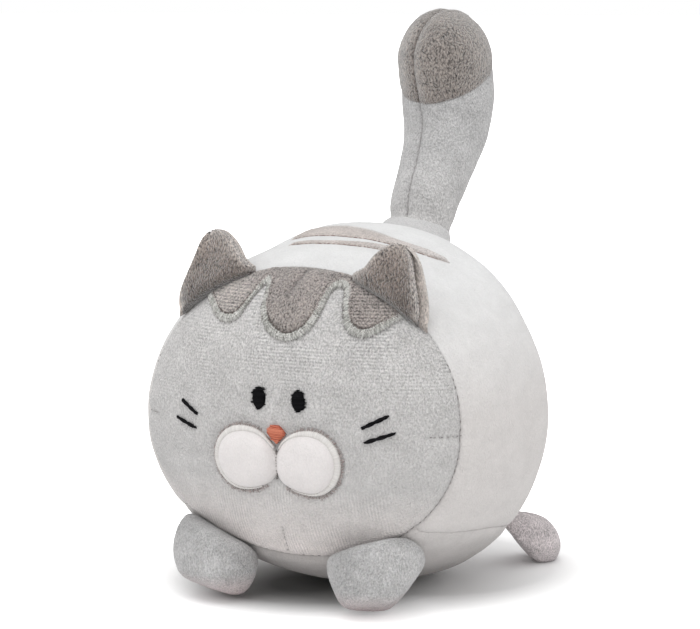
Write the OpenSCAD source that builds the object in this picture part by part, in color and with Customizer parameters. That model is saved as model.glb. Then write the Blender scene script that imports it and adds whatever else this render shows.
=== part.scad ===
// A stuffed plush cat: a round sewn body on a flat underside, a grey face with appliques,
// two sewn-in ears, four stuffed paws and an upright stuffed tail.
// The cat faces -Y, its left side is +X, and the floor is z = 0. Millimetres.
// The origin is the middle of the flat underside.

/* [Body] */
// Width of the stuffed body across its widest girth
body_width = 150; // [140:1:160]
// Depth of the face side, from the widest girth forward
front_depth = 61.5; // [58:0.5:66]
// Depth of the rump, from the widest girth back
rear_depth = 59; // [56:0.5:63]
// Height of the back above the middle of the body
back_height = 72; // [68:0.5:76]
// Drop of the belly below the middle of the body, at the widest girth
belly_drop = 66.2; // [63:0.2:70]
// How square the face side is, 2 is an ellipse
front_squareness = 3.2; // [2.6:0.1:3.6]
// How square the rump is, 2 is an ellipse
rear_squareness = 2.4; // [2.2:0.1:2.8]
// How square the body is across, 2 is an ellipse
girth_squareness = 2.05; // [2:0.05:2.3]
// Share by which the back rises towards the rump, per half width
back_rise = 0.15; // [0.1:0.01:0.2]
// Share by which the belly deepens towards the rump, per half width
belly_fall = 0.24; // [0.2:0.01:0.28]
// Where the widest girth lies, behind the middle of the flat underside
girth_y = -15; // [-18:0.5:-12]

/* [Fabric] */
// Thickness of the body's pile fabric with its pile
fabric = 3; // [2:0.1:3.4]
// Thickness of a flat applique
applique = 1.2; // [0.8:0.1:1.6]
// Gap between pieces that are sewn or seated together
clearance = 0.3; // [0.2:0.05:0.4]
// Gap along a seam between two panels
seam_gap = 0.6; // [0.4:0.1:0.8]
// Gap between a fabric cover and the filling inside it
filling_gap = 0.6; // [0.5:0.05:0.8]

/* [Seams] */
// How far forward of the widest girth the face seam lies
face_seam = 43.6; // [40:0.2:46]
// Forward lean of the face seam, as a slope
face_seam_lean = 0.07; // [0:0.01:0.1]
// Half angle of the belly panel at its widest
belly_half_angle = 54; // [48:1:58]
// Half angle of the belly panel at the face seam
belly_front_angle = 48; // [42:1:52]
// Share of the way from the face seam to the rump where the belly panel ends
belly_end = 0.78; // [0.7:0.01:0.84]
// Number of stitches in the hand-closed seam under the tail
stitch_count = 7; // [5:1:9]
// Width of one closing stitch
stitch_width = 4; // [3:0.5:6]
// Thickness of the closing thread
thread = 0.8; // [0.6:0.1:1.2]

/* [Face] */
// Height of the eyes above the floor
eye_z = 80.4; // [76:0.2:86]
// Distance between the eyes
eye_spacing = 16.6; // [14:0.2:24]
// Width of an eye
eye_width = 5.3; // [4:0.1:8]
// Height of an eye
eye_height = 8.2; // [6:0.1:11]
// Thickness of the eye and nose embroidery
embroidery = 1; // [0.6:0.1:1.5]
// Height of the nose above the floor
nose_z = 68; // [67:0.1:70]
// Width of the nose
nose_width = 8.8; // [7:0.1:11]
// Height of the nose
nose_height = 6.4; // [5:0.1:7]
// Height of the muzzle pads' middle above the floor
muzzle_z = 58; // [56:0.2:59]
// Height of a muzzle pad
muzzle_height = 24; // [22:0.2:26]
// Width of a muzzle pad, from the middle of the face out
muzzle_width = 26.3; // [24:0.1:29]
// Crown of a muzzle pad above the face
muzzle_crown = 6; // [4:0.2:8]
// Width of the satin border around a muzzle pad
muzzle_border = 2.4; // [1.8:0.1:3]
// Thickness of the satin border around a muzzle pad
muzzle_cord = 1.6; // [1.2:0.1:2]
// Height of the middle of each whisker pair above the floor
whisker_z = 71.5; // [66:0.5:76]
// Distance of the whiskers' middle from the middle of the face
whisker_x = 39.4; // [36:0.2:43]
// Length of a whisker
whisker_length = 10.5; // [8:0.5:13]
// Thickness of a whisker line
whisker_line = 1.7; // [1.2:0.1:2.2]
// Distance between the two whiskers of a pair
whisker_gap = 6; // [5:0.2:8]

/* [Forehead] */
// Width of the satin edging along the forehead patch
edging = 3; // [2:0.1:4]
// Height of the patch's points is moved by this
patch_shift = 0; // [-3:0.5:1]

/* [Back stripes] */
// Half length of a stripe across the back
stripe_half_length = 41; // [36:0.5:46]
// Width of the front stripe in the middle
front_stripe_width = 7; // [5:0.5:9]
// Width of the rear stripe in the middle
rear_stripe_width = 12; // [9:0.5:13]
// Place of the front stripe's middle, from the widest girth
front_stripe_y = -18.7; // [-22:0.5:-16.5]
// Place of the rear stripe's middle, from the widest girth
rear_stripe_y = -5.5; // [-5.5:0.5:2]

/* [Ears] */
// Angle round the face seam where an ear starts, near the crown
ear_inner_angle = 74; // [72:0.5:76]
// Angle round the face seam where an ear ends, at the side
ear_outer_angle = 44.5; // [42:0.5:47]
// Height of an ear above its seam
ear_height = 22; // [19:0.5:26]
// Sideways lean of an ear's tip from straight up
ear_lean = 0.5; // [-2:0.5:4]
// Thickness of one layer of an ear in the middle
ear_layer = 3.1; // [2.4:0.1:4]
// Half thickness of the ear where it is sewn in
ear_root = 1.5; // [1.2:0.1:1.8]
// Hollow of the ear's front face
ear_cup = 2.5; // [1:0.5:4]

/* [Tail] */
// Angle over the rump where the tail is sewn on, 90 is the rearmost point
tail_place = 53; // [50:1:58]
// Radius of the tail's rounded root
tail_root = 13.6; // [12.5:0.1:14.2]
// Height of the root's middle above the body's surface
tail_seat = 8; // [7.6:0.1:9]
// Radius of the tail's waist above the root
tail_waist = 13.5; // [12.5:0.1:14.5]
// Radius of the tail's thick end
tail_end = 19; // [17:0.2:20]
// Length of the tail from its root to the start of its rounded end
tail_length = 75.5; // [70:0.5:81]
// Length of the tail's rounded end
tail_dome = 21; // [18:0.5:24]
// Share of the tail's length where the dark tip starts
tip_start = 0.85; // [0.7:0.01:0.87]
// Rise of the tip's seam from the front of the tail to its back
tip_seam_rise = 11; // [6:1:14]
// Twist of the tail's seams from root to end, in degrees
tail_twist = 18; // [0:1:30]

/* [Paws] */
// Angle of the front paws' seat forward on the body
front_paw_seat = -47; // [-50:0.5:-44]
// Angle of the front paws' seat round the body
front_paw_angle = -59; // [-61:0.5:-57]
// Half width, half depth and half height of a front paw
front_paw_size = [17, 13.4, 15.2];
// Distance of a front paw's middle forward of its seat
front_paw_forward = 1.8; // [1.4:0.2:3]
// Angle of the rear paws' seat back on the body
rear_paw_seat = 46.5; // [44:0.5:49]
// Angle of the rear paws' seat round the body
rear_paw_angle = -52; // [-54:0.5:-50]
// Half length, half width and half height of a rear paw
rear_paw_size = [23, 10, 9.8];
// Distance of a rear paw's middle outward and back of its seat
rear_paw_reach = [7.5, 14.5];
// Fall of a rear paw's long axis towards its tip, in degrees
rear_paw_fall = 18; // [12:1:22]
// How square the paws are, 2 is an egg
paw_squareness = 2.4; // [2:0.1:3]
// Gap between the front paws and the floor
front_floor_gap = 2.7; // [1.5:0.1:3.5]
// Gap between the rear paws and the floor
rear_floor_gap = 0.3; // [0.2:0.1:1]

/* [Hidden] */

half_width = body_width / 2;
centre_z = belly_drop;
FACE_GREY = "#bfc0c2";
BACK_WHITE = "#e4e3e2";
BELLY_GREY = "#c4c1be";
TAUPE = "#8f8681";
SAGE = "#a3a39b";
PAD_WHITE = "#f0ece8";
CORAL = "#cf8368";
BLACK = "#202022";
TAIL_GREY = "#bab9ba";
FILL = "#f4f2ee";
EAR_TAUPE = "#7b726d";

// ---------------------------------------------------------------- the body's surface

// Share of the full girth left at an angle fore or aft of the widest girth
function girth_share(t) =
    let (q = t < 0 ? front_squareness : rear_squareness)
    pow(max(0, 1 - pow(abs(sin(t)), q)), 1 / q);

// Half height of the girth above or below the middle, at a place fore or aft
function half_height(up, y, grow) =
    up ? (back_height + grow) * (1 + back_rise * y / half_width)
       : (belly_drop + grow) * (1 + belly_fall * y / half_width);

// Point on the body: t runs from -90 at the face to 90 at the rump, a turns round the body
// from 0 at the cat's left over 90 at the top, and grow moves the surface outward
function skin(t, a, grow = 0) =
    let (y = ((t < 0 ? front_depth : rear_depth) + grow) * sin(t))
    let (c = cos(a), d = sin(a), k = girth_squareness)
    let (unit = girth_share(t) * pow(pow(abs(c), k) + pow(abs(d), k), -1 / k))
    [(half_width + grow) * unit * c, y, centre_z + half_height(d > 0, y, grow) * unit * d];

// Outward direction of the body's surface
function unit(v) = v / norm(v);
function skin_normal(t, a) =
    unit(cross(skin(t + 0.5, a) - skin(t - 0.5, a), skin(t, a + 0.5) - skin(t, a - 0.5)));

// Angle t at which the face seam crosses the direction a, settled in three steps
function seam_step(y, a, grow) =
    -face_seam + face_seam_lean * (skin(asin(y / (front_depth + grow)), a, grow)[2] - centre_z);
function seam_t(a, grow = 0, shift = 0) =
    let (y1 = seam_step(-face_seam, a, grow))
    let (y2 = seam_step(y1, a, grow))
    asin((seam_step(y2, a, grow) + shift) / (front_depth + grow));

// Depth of the face at a place x, z on it
function face_reach(x, z, y, grow) =
    let (h = half_height(z > centre_z, y, grow), k = girth_squareness, q = front_squareness)
    let (rho = pow(pow(abs(x) / (half_width + grow), k) + pow(abs(z - centre_z) / h, k), 1 / k))
    -(front_depth + grow) * pow(max(0, 1 - pow(min(1, rho), q)), 1 / q);
function face_point(p, grow = 0) =
    let (y1 = face_reach(p[0], p[1], -front_depth, grow))
    let (y2 = face_reach(p[0], p[1], y1, grow))
    [p[0], face_reach(p[0], p[1], y2, grow), p[1]];

// Point on the top of the back at a place x, y on it
function back_point(p, grow = 0) =
    let (t = asin(p[1] / ((p[1] < 0 ? front_depth : rear_depth) + grow)))
    let (s = girth_share(t), k = girth_squareness)
    let (rise = pow(max(0, 1 - pow(abs(p[0]) / ((half_width + grow) * s), k)), 1 / k))
    [p[0], p[1], centre_z + half_height(true, p[1], grow) * s * rise];

// ---------------------------------------------------------------- solids from points

function reversed(list) = [for (i = [len(list) - 1 : -1 : 0]) list[i]];
function flat(lists) = [for (list = lists) for (item = list) item];
function lerp(a, b, s) = a + (b - a) * s;
function quad(a, b, c, d) = [[a, b, c], [a, c, d]];

// Closed solid between two matching grids of points, rows by columns
module slab(outer, inner) {
    rows = len(outer);
    cols = len(outer[0]);
    low = rows * cols;
    function at(r, c) = r * cols + c;
    tops = [for (r = [0 : rows - 2]) for (c = [0 : cols - 2])
        each quad(at(r, c), at(r, c + 1), at(r + 1, c + 1), at(r + 1, c))];
    unders = [for (f = tops) [f[2] + low, f[1] + low, f[0] + low]];
    rim = concat(
        [for (c = [0 : cols - 2]) at(0, c)],
        [for (r = [0 : rows - 2]) at(r, cols - 1)],
        [for (c = [cols - 1 : -1 : 1]) at(rows - 1, c)],
        [for (r = [rows - 1 : -1 : 1]) at(r, 0)]);
    walls = [for (i = [0 : len(rim) - 1])
        let (a = rim[i], b = rim[(i + 1) % len(rim)])
        each quad(b, a, a + low, b + low)];
    polyhedron(concat(flat(outer), flat(inner)), concat(tops, unders, walls), convexity = 6);
}

// Closed solid through rings of points, from a first pole to a last pole
module ring_solid(rings, first, last) {
    n = len(rings[0]);
    m = len(rings);
    bands = [for (r = [0 : m - 2]) for (i = [0 : n - 1])
        each quad(r * n + i, r * n + (i + 1) % n, (r + 1) * n + (i + 1) % n, (r + 1) * n + i)];
    starts = [for (i = [0 : n - 1]) [m * n, (i + 1) % n, i]];
    ends = [for (i = [0 : n - 1]) [m * n + 1, (m - 1) * n + i, (m - 1) * n + (i + 1) % n]];
    polyhedron(concat(flat(rings), [first, last]), concat(bands, starts, ends), convexity = 6);
}

// ---------------------------------------------------------------- body panels

PANEL_SIDES = 48;
FACE_ROWS = 13;
BACK_COLUMNS = 44;
BELLY_ROWS = 11;
RUMP_ROWS = 8;
BELLY_COLUMNS = 14;

function face_ring(i, grow) =
    [for (k = [0 : PANEL_SIDES - 1])
        let (a = 360 * k / PANEL_SIDES)
        skin(lerp(-90, seam_t(a, grow, -seam_gap / 2), i / FACE_ROWS), a, grow)];

module face_panel() {
    color(FACE_GREY) place()
        ring_solid(
            concat([for (i = [1 : FACE_ROWS]) face_ring(i, 0)],
                   [for (i = [FACE_ROWS : -1 : 1]) face_ring(i, -fabric)]),
            skin(-90, 0, 0), skin(-90, 0, -fabric));
}

// Point behind the face seam: u runs from the seam to the rump
function rump_point(u, a, grow) =
    let (start = seam_t(a, grow, seam_gap / 2))
    skin(lerp(start, 90, u), a, grow);

// Half angle of the belly panel's edge, and of the closing seam behind it
BELLY_WIDEST = 0.28;
function belly_edge(u) =
    u < BELLY_WIDEST
    ? belly_half_angle - (belly_half_angle - belly_front_angle) * pow(1 - u / BELLY_WIDEST, 2)
    : belly_half_angle * sqrt(max(0, 1 - pow((u - BELLY_WIDEST) / (belly_end - BELLY_WIDEST), 2.6)));
function gap_angle(u) =
    asin(min(0.5, seam_gap / 2 / (half_width * max(0.01, girth_share(lerp(-45, 90, u))))));
function row_share(i) = belly_end * sin(90 * i / BELLY_ROWS);
RUMP_HOLE = 0.996;
function rump_share(i) = lerp(belly_end, RUMP_HOLE, sin(90 * i / RUMP_ROWS));

function back_row(u, grow) =
    let (edge = max(belly_edge(u), 0) + gap_angle(u))
    [for (k = [0 : BACK_COLUMNS]) rump_point(u, lerp(-90 + edge, 270 - edge, k / BACK_COLUMNS), grow)];
function back_grid(grow) = concat(
    [for (i = [0 : BELLY_ROWS]) back_row(row_share(i), grow)],
    [for (i = [1 : RUMP_ROWS]) back_row(rump_share(i), grow)]);

module back_panel() {
    color(BACK_WHITE) place()
        difference() {
            slab(back_grid(0), back_grid(-fabric));
            tail_socket();
        }
}

BELLY_TIP = 0.985;
function belly_row(i, grow) =
    let (u = i < BELLY_ROWS ? row_share(i) : belly_end * BELLY_TIP)
    let (edge = i < BELLY_ROWS ? belly_edge(u) - gap_angle(u) : 2)
    [for (k = [0 : BELLY_COLUMNS]) rump_point(u, lerp(-90 - edge, -90 + edge, k / BELLY_COLUMNS), grow)];

module belly_panel() {
    color(BELLY_GREY) place()
        difference() {
            slab([for (i = [0 : BELLY_ROWS]) belly_row(i, 0)],
                 [for (i = [0 : BELLY_ROWS]) belly_row(i, -fabric)]);
            translate([0, 0, -body_width])
                cube([2 * body_width, 2 * body_width, 2 * body_width], center = true);
        }
}

STUFFING_SIDES = 30;
STUFFING_ROWS = 18;
module body_stuffing() {
    core = -fabric - filling_gap;
    color(FILL) place()
        difference() {
            ring_solid(
                [for (i = [1 : STUFFING_ROWS - 1])
                    [for (k = [0 : STUFFING_SIDES - 1])
                        skin(lerp(-90, 90, i / STUFFING_ROWS), 360 * k / STUFFING_SIDES, core)]],
                skin(-90, 0, core), skin(90, 0, core));
            tail_socket();
        }
}

// Ladder stitches across the closing seam, between the belly's tip and the rump
module closing_stitches() {
    color(BACK_WHITE) place()
        for (i = [0 : stitch_count - 1])
            translate(rump_point(lerp(belly_end, 1, (i + 1) / (stitch_count + 1)), -90, clearance + thread / 2))
                rotate([0, 90, 0])
                    cylinder(d = thread, h = stitch_width, center = true, $fn = 24);
}

// ---------------------------------------------------------------- appliques

// Smooth curve through a few points, with a given number of steps between them
function spline_point(p0, p1, p2, p3, s) =
    0.5 * (2 * p1 + (p2 - p0) * s + (2 * p0 - 5 * p1 + 4 * p2 - p3) * s * s
        + (3 * p1 - p0 - 3 * p2 + p3) * s * s * s);
function spline(points, steps) =
    let (n = len(points) - 1)
    [for (i = [0 : n - 1]) for (j = [0 : steps - (i < n - 1 ? 1 : 0)])
        spline_point(points[max(0, i - 1)], points[i], points[i + 1], points[min(n, i + 2)], j / steps)];

// Lower edge of the forehead patch: three round lobes with two narrow arches between them
PATCH_EDGE = [
    [-35, 113], [-33, 109.5], [-28, 108], [-23, 110.5], [-19.5, 115.5], [-15, 122.5], [-11.3, 116],
    [-9, 110], [-4.5, 104.5], [2, 101.8], [7.5, 104], [11, 108.5], [14, 115], [19, 121.5],
    [24.5, 116], [27.5, 110], [32, 106], [37, 105], [42.5, 107.5], [46, 110]
];
function patch_edge() = [for (p = spline(PATCH_EDGE, 3)) p + [0, patch_shift]];

// Upper edge of the patch: just inside the face seam, and further in under the ears
EAR_ZONE = 15;
function patch_top(x) =
    let (inset = seam_gap + (abs(x) > EAR_ZONE ? 2.2 : 0.4))
    let (a = acos(x / (half_width * girth_share(-45))))
    let (p = skin(seam_t(a, 0, -inset), a))
    [x, centre_z + half_height(true, p[1], 0) * girth_share(asin(p[1] / front_depth))
        * pow(1 - pow(abs(x) / (half_width * girth_share(asin(p[1] / front_depth))), girth_squareness),
              1 / girth_squareness)];

PATCH_ROWS = 5;
module forehead_patch() {
    edge = patch_edge();
    function column(p, s) = [p[0], lerp(p[1], max(patch_top(p[0])[1], p[1] + 0.6), s)];
    function layer(grow) = [for (r = [0 : PATCH_ROWS])
        [for (p = edge) face_point(column(p, r / PATCH_ROWS), grow)]];
    color(TAUPE) place()
        slab(layer(clearance), layer(clearance + applique));
}

// Satin stitching along a line on the face: a low crowned ribbon
function side_step(path, i, closed) =
    let (n = len(path))
    let (before = closed ? path[(i + n - 1) % n] : path[max(0, i - 1)])
    let (after = closed ? path[(i + 1) % n] : path[min(n - 1, i + 1)])
    let (d = unit(after - before))
    [-d[1], d[0]];
RIBBON = [[-0.5, 0], [-0.4, 0.7], [0, 1], [0.4, 0.7], [0.5, 0]];
function ribbon_ring(path, i, width, height, base, closed) =
    [for (s = RIBBON) face_point(path[i] + side_step(path, i, closed) * s[0] * width, base + s[1] * height)];
module ribbon(path, width, height, base, closed = false) {
    n = len(path);
    m = len(RIBBON);
    rings = [for (i = [0 : n - 1]) ribbon_ring(path, i, width, height, base, closed)];
    bands = [for (r = [0 : n - (closed ? 1 : 2)]) for (i = [0 : m - 1])
        let (s = (r + 1) % n)
        each quad(r * m + i, r * m + (i + 1) % m, s * m + (i + 1) % m, s * m + i)];
    caps = closed ? [] : [[for (i = [m - 1 : -1 : 0]) i], [for (i = [0 : m - 1]) (n - 1) * m + i]];
    split_caps = [for (c = caps) for (i = [1 : m - 2]) [c[0], c[i], c[i + 1]]];
    polyhedron(flat(rings), concat(bands, split_caps), convexity = 6);
}

module forehead_edging() {
    edge = patch_edge();
    color(SAGE) place()
        ribbon(edge, edging, applique, 2 * clearance + applique);
}

// A crowned pad on the face, from its outline
PAD_RINGS = 5;
module face_pad(middle, outline, crown, base) {
    n = len(outline);
    function ring(s, grow) = [for (p = outline) face_point(middle + p * s, grow)];
    function rise(s) = base + crown * (0.12 + 0.88 * pow(1 - s * s, 0.6));
    ring_solid(
        concat([for (i = [1 : PAD_RINGS]) ring(i / PAD_RINGS, rise(i / PAD_RINGS))],
               [for (i = [PAD_RINGS : -1 : 1]) ring(i / PAD_RINGS, base)]),
        face_point(middle, rise(0)), face_point(middle, base));
}

// Outline of a muzzle pad about its middle: fuller on its outer side, cut straight at the nose line
MUZZLE_SIDES = 28;
muzzle_x = 0.55 * muzzle_width;
function muzzle_outline(side, inset) =
    [for (k = [0 : MUZZLE_SIDES - 1])
        let (a = side * 360 * k / MUZZLE_SIDES)
        let (out = cos(a) > 0 ? muzzle_width - muzzle_x : muzzle_x + 1)
        let (x = max((out - inset) * cos(a), -muzzle_x + seam_gap / 2 + inset))
        [side * x, (muzzle_height / 2 - inset) * sin(a)]];
module muzzle_pad(side) {
    color(PAD_WHITE) place()
        face_pad([side * muzzle_x, muzzle_z], muzzle_outline(side, muzzle_border + clearance),
                 muzzle_crown, clearance);
}
module muzzle_border(side) {
    middle = [side * muzzle_x, muzzle_z];
    color(PAD_WHITE) place()
        ribbon([for (p = muzzle_outline(side, muzzle_border / 2)) middle + p], muzzle_border,
               muzzle_cord, clearance, closed = true);
}

// The nose is stitched over the top of the satin borders
NOSE_SIDES = 20;
nose_base = muzzle_cord + 2 * clearance;
module nose() {
    outline = [for (k = [0 : NOSE_SIDES - 1])
        let (a = 360 * k / NOSE_SIDES)
        [nose_width / 2 * cos(a) * (1 + 0.28 * sin(a)), nose_height / 2 * sin(a)]];
    color(CORAL) place()
        face_pad([0, nose_z], outline, embroidery, nose_base);
}

module eye(side) {
    outline = [for (k = [0 : NOSE_SIDES - 1])
        let (a = 360 * k / NOSE_SIDES)
        [eye_width / 2 * cos(a), eye_height / 2 * sin(a)]];
    color(BLACK) place()
        face_pad([side * eye_spacing / 2, eye_z], outline, embroidery, clearance);
}

// Two stitched lines on each cheek, the upper one steeper
WHISKER_STEPS = 5;
module whiskers(side) {
    color(BLACK) place()
        for (up = [-1, 1]) {
            lean = 24 + 4 * up;
            line = [for (i = [0 : WHISKER_STEPS])
                let (s = whisker_length * (i / WHISKER_STEPS - 0.5))
                [side * (whisker_x + s * cos(lean)), whisker_z + up * whisker_gap / 2 + s * sin(lean)]];
            ribbon(side > 0 ? line : reversed(line), whisker_line, embroidery, clearance);
        }
}

// A crescent across the back, tapering to both ends
STRIPE_COLUMNS = 20;
STRIPE_ROWS = 3;
STRIPE_BEND = 5;
module back_stripe(y, width) {
    function place_at(i, r) =
        let (s = 2 * i / STRIPE_COLUMNS - 1)
        let (w = max(0.8, width * (1 - pow(abs(s), 1.5))))
        [stripe_half_length * s, y + STRIPE_BEND * pow(s, 4) + w * (r / STRIPE_ROWS - 0.5)];
    function layer(grow) = [for (r = [0 : STRIPE_ROWS])
        [for (i = [0 : STRIPE_COLUMNS]) back_point(place_at(i, r), grow)]];
    color(TAUPE) place()
        slab(layer(clearance), layer(clearance + applique));
}

// ---------------------------------------------------------------- ears

// Ends and middle of the ear's seam on the body, for the cat's left ear
function ear_seat(a) = skin(seam_t(a), a);
ear_mid_angle = (ear_inner_angle + ear_outer_angle) / 2;
ear_bow = norm(ear_seat(ear_mid_angle) - (ear_seat(ear_inner_angle) + ear_seat(ear_outer_angle)) / 2);
ear_lift = ear_bow + ear_root + clearance;
function ear_end(a) = ear_seat(a) + ear_lift * skin_normal(seam_t(a), a);
ear_pin_in = ear_end(ear_inner_angle);
ear_pin_out = ear_end(ear_outer_angle);
ear_middle = (ear_pin_in + ear_pin_out) / 2;
ear_along = ear_pin_out - ear_middle;

EAR_COLUMNS = 10;
EAR_LEVELS = [-0.06, 0, 0.12, 0.28, 0.46, 0.64, 0.8, 0.92, 0.985];
function ear_width_share(s, v) = s > 0 ? sqrt(1 - v * v) : pow(1 - v, 0.8);
function ear_sag(s) = -0.8 * ear_bow * s * s;
function ear_point(i, v, face, depth) =
    let (s = 2 * i / EAR_COLUMNS - 1, w = max(0, v))
    let (edge = 1 - pow(abs(s), 3))
    let (full = v < 0 ? 0.4 : ear_root + (ear_layer - ear_root) * min(1, 3 * w) * (0.25 + 0.75 * edge))
    let (thick = max(0.45, full * (1 - 0.6 * pow(w, 4)) * (v < 0 ? 1 : 0.35 + 0.65 * edge)))
    let (hollow = ear_cup * w * (1 - s * s))
    ear_middle + ear_along * s * ear_width_share(s, w)
        + [ear_lean * w, hollow + face * (clearance / 2 + depth * (thick - clearance / 2)),
           ear_height * v + ear_sag(s) * (1 - w)];
module ear_layer_solid(face) {
    function grid(depth) = [for (v = EAR_LEVELS)
        [for (i = [0 : EAR_COLUMNS]) ear_point(i, v, face, depth)]];
    if (face < 0) slab(grid(0), grid(1));
    else slab(grid(1), grid(0));
}
module ear(side, face) {
    color(EAR_TAUPE) place()
        if (side > 0) ear_layer_solid(face);
        else mirror([1, 0, 0]) ear_layer_solid(face);
}

// ---------------------------------------------------------------- tail

tail_pivot = skin(tail_place, 90) + tail_seat * skin_normal(tail_place, 90);

// How far the tail leans back at equal steps of its height, as a share of its length
TAIL_LEAN = [0, 0.06, 0.12, 0.225, 0.32, 0.385, 0.405, 0.39, 0.36];
// Its radius at the same steps, from the waist, 0, to the thick end, 1
TAIL_FULLNESS = [0, 0, 0.03, 0.18, 0.4, 0.73, 0.96, 1, 1];
function along(list, s) =
    let (n = len(list) - 1, i = min(n - 1, floor(s * n)))
    spline_point(list[max(0, i - 1)], list[i], list[i + 1], list[min(n, i + 2)], s * n - i);
function tail_at(s) = tail_pivot + tail_length * [0, along(TAIL_LEAN, s), s];
function tail_radius(s) = lerp(tail_waist, tail_end, along(TAIL_FULLNESS, s));
function tail_way(s) =
    unit(tail_at(min(1, s + 0.06)) - tail_at(max(0, s - 0.06)));

// Ring point: angle 0 is the front of the tail, and the seams twist along it
function tail_ring_point(middle, way, radius, angle) =
    let (front = [0, -way[2], way[1]])
    middle + radius * (front * cos(angle) + [sin(angle), 0, 0]);
function tail_point(s, angle, grow) =
    tail_ring_point(tail_at(s), tail_way(s), tail_radius(s) + grow, angle - tail_twist * s);
// The rounded root below the pivot and the rounded end above the line
function root_point(tilt, angle, grow) =
    tail_ring_point(tail_pivot - (tail_root + grow) * sin(tilt) * tail_way(0), tail_way(0),
                    (tail_root + grow) * cos(tilt), angle);
function dome_point(tilt, angle, grow) =
    tail_ring_point(tail_at(1) + (tail_dome + grow) * sin(tilt) * tail_way(1), tail_way(1),
                    (tail_end + grow) * cos(tilt), angle - tail_twist);
// The seam between the tail and its tip rises towards the back
function tip_share(angle) = tip_start - tip_seam_rise / 2 / tail_length * cos(angle);

module tail_socket() {
    translate(tail_pivot)
        sphere(r = tail_root + clearance + 0.1, $fn = 64);
}

HALF_COLUMNS = 11;
ROOT_TILTS = [60, 40, 20];
DOME_TILTS = [22, 42, 60, 75, 88];
TUBE_ROWS = 12;
TIP_ROWS = 3;
seam_half = seam_gap / 2;
// Angles across one half of the tail, kept clear of the seams
function half_angle(side, k) = side * lerp(1.2, 178.8, k / HALF_COLUMNS);
function tube_row(f, side, grow) = [for (k = [0 : HALF_COLUMNS])
    let (a = half_angle(side, k))
    tail_point(f * (tip_share(a) - seam_half / tail_length), a, grow)];
function root_row(tilt, side, grow) = [for (k = [0 : HALF_COLUMNS])
    root_point(tilt, half_angle(side, k), grow)];
function tip_row(f, side, grow) = [for (k = [0 : HALF_COLUMNS])
    let (a = half_angle(side, k))
    tail_point(lerp(tip_share(a) + seam_half / tail_length, 1, f), a, grow)];
function dome_row(tilt, side, grow) = [for (k = [0 : HALF_COLUMNS])
    dome_point(tilt, half_angle(side, k), grow)];

module tail_tube(side) {
    function grid(grow) = concat(
        [for (tilt = ROOT_TILTS) root_row(tilt, side, grow)],
        [for (r = [0 : TUBE_ROWS]) tube_row(r / TUBE_ROWS, side, grow)]);
    color(TAIL_GREY) place()
        if (side > 0) slab(grid(-fabric), grid(0));
        else slab(grid(0), grid(-fabric));
}
module tail_tip(side) {
    function grid(grow) = concat(
        [for (r = [0 : TIP_ROWS]) tip_row(r / TIP_ROWS, side, grow)],
        [for (tilt = DOME_TILTS) dome_row(tilt, side, grow)]);
    color(TAUPE) place()
        if (side > 0) slab(grid(-fabric), grid(0));
        else slab(grid(0), grid(-fabric));
}
TAIL_SIDES = 18;
module tail_stuffing() {
    core = -fabric - filling_gap;
    function round_ring(kind, s) = [for (k = [0 : TAIL_SIDES - 1])
        let (a = 360 * k / TAIL_SIDES)
        kind == 0 ? root_point(s, a, core) : kind == 1 ? tail_point(s, a, core) : dome_point(s, a, core)];
    rings = concat(
        [for (tilt = [65, 40, 20]) round_ring(0, tilt)],
        [for (r = [0 : 13]) round_ring(1, r / 13)],
        [for (tilt = [22, 42, 60, 75]) round_ring(2, tilt)]);
    color(FILL) place()
        ring_solid(reversed(rings), dome_point(90, 0, core), root_point(90, 0, core));
}

// ---------------------------------------------------------------- paws

// A paw is an egg shape about its middle, pressed flat where it meets the body
function egg_radius(way, axes, size) =
    pow([for (i = [0 : 2]) pow(abs(way * axes[i]) / size[i], paw_squareness)] * [1, 1, 1], -1 / paw_squareness);
function paw_radius(way, paw) =
    let (egg = egg_radius(way, paw[2], paw[3]), towards = -(way * paw[1]))
    towards > 0.01 ? min(egg, paw[4] / towards) : egg;
// Directions round the paw: tilt 0 points at the body, 180 away from it
function paw_way(paw, tilt, turn) =
    let (n = paw[1])
    let (side = unit(cross([0, 0, 1], n)))
    let (up = cross(n, side))
    -cos(tilt) * n + sin(tilt) * (cos(turn) * side + sin(turn) * up);
function paw_point(paw, tilt, turn, grow) =
    let (way = paw_way(paw, tilt, turn))
    paw[0] + way * (paw_radius(way, paw) + grow);

// Each paw: middle, seat direction, axes, half sizes and distance of its flat from its middle
function turned_axes(yaw, fall) =
    let (along = [cos(yaw) * cos(fall), sin(yaw) * cos(fall), -sin(fall)])
    let (across = [-sin(yaw), cos(yaw), 0])
    [along, across, cross(along, across)];
function make_paw(t, a, middle, axes, size) =
    let (seat = skin(t, a), n = skin_normal(t, a))
    [middle, n, axes, size, (middle - seat) * n - clearance];
function front_paw() =
    let (seat = skin(front_paw_seat, front_paw_angle))
    make_paw(front_paw_seat, front_paw_angle,
        [seat[0], seat[1] - front_paw_forward, front_paw_size[2] + front_floor_gap],
        [[1, 0, 0], [0, 1, 0], [0, 0, 1]], front_paw_size);
function rear_paw() =
    let (seat = skin(rear_paw_seat, rear_paw_angle))
    let (yaw = atan2(rear_paw_reach[1], rear_paw_reach[0]))
    let (k = paw_squareness / (paw_squareness - 1))
    let (sink = pow(pow(rear_paw_size[0] * sin(rear_paw_fall), k) + pow(rear_paw_size[2] * cos(rear_paw_fall), k), 1 / k))
    make_paw(rear_paw_seat, rear_paw_angle,
        [seat[0] + rear_paw_reach[0], seat[1] + rear_paw_reach[1], sink + rear_floor_gap],
        turned_axes(yaw, rear_paw_fall), rear_paw_size);

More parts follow.
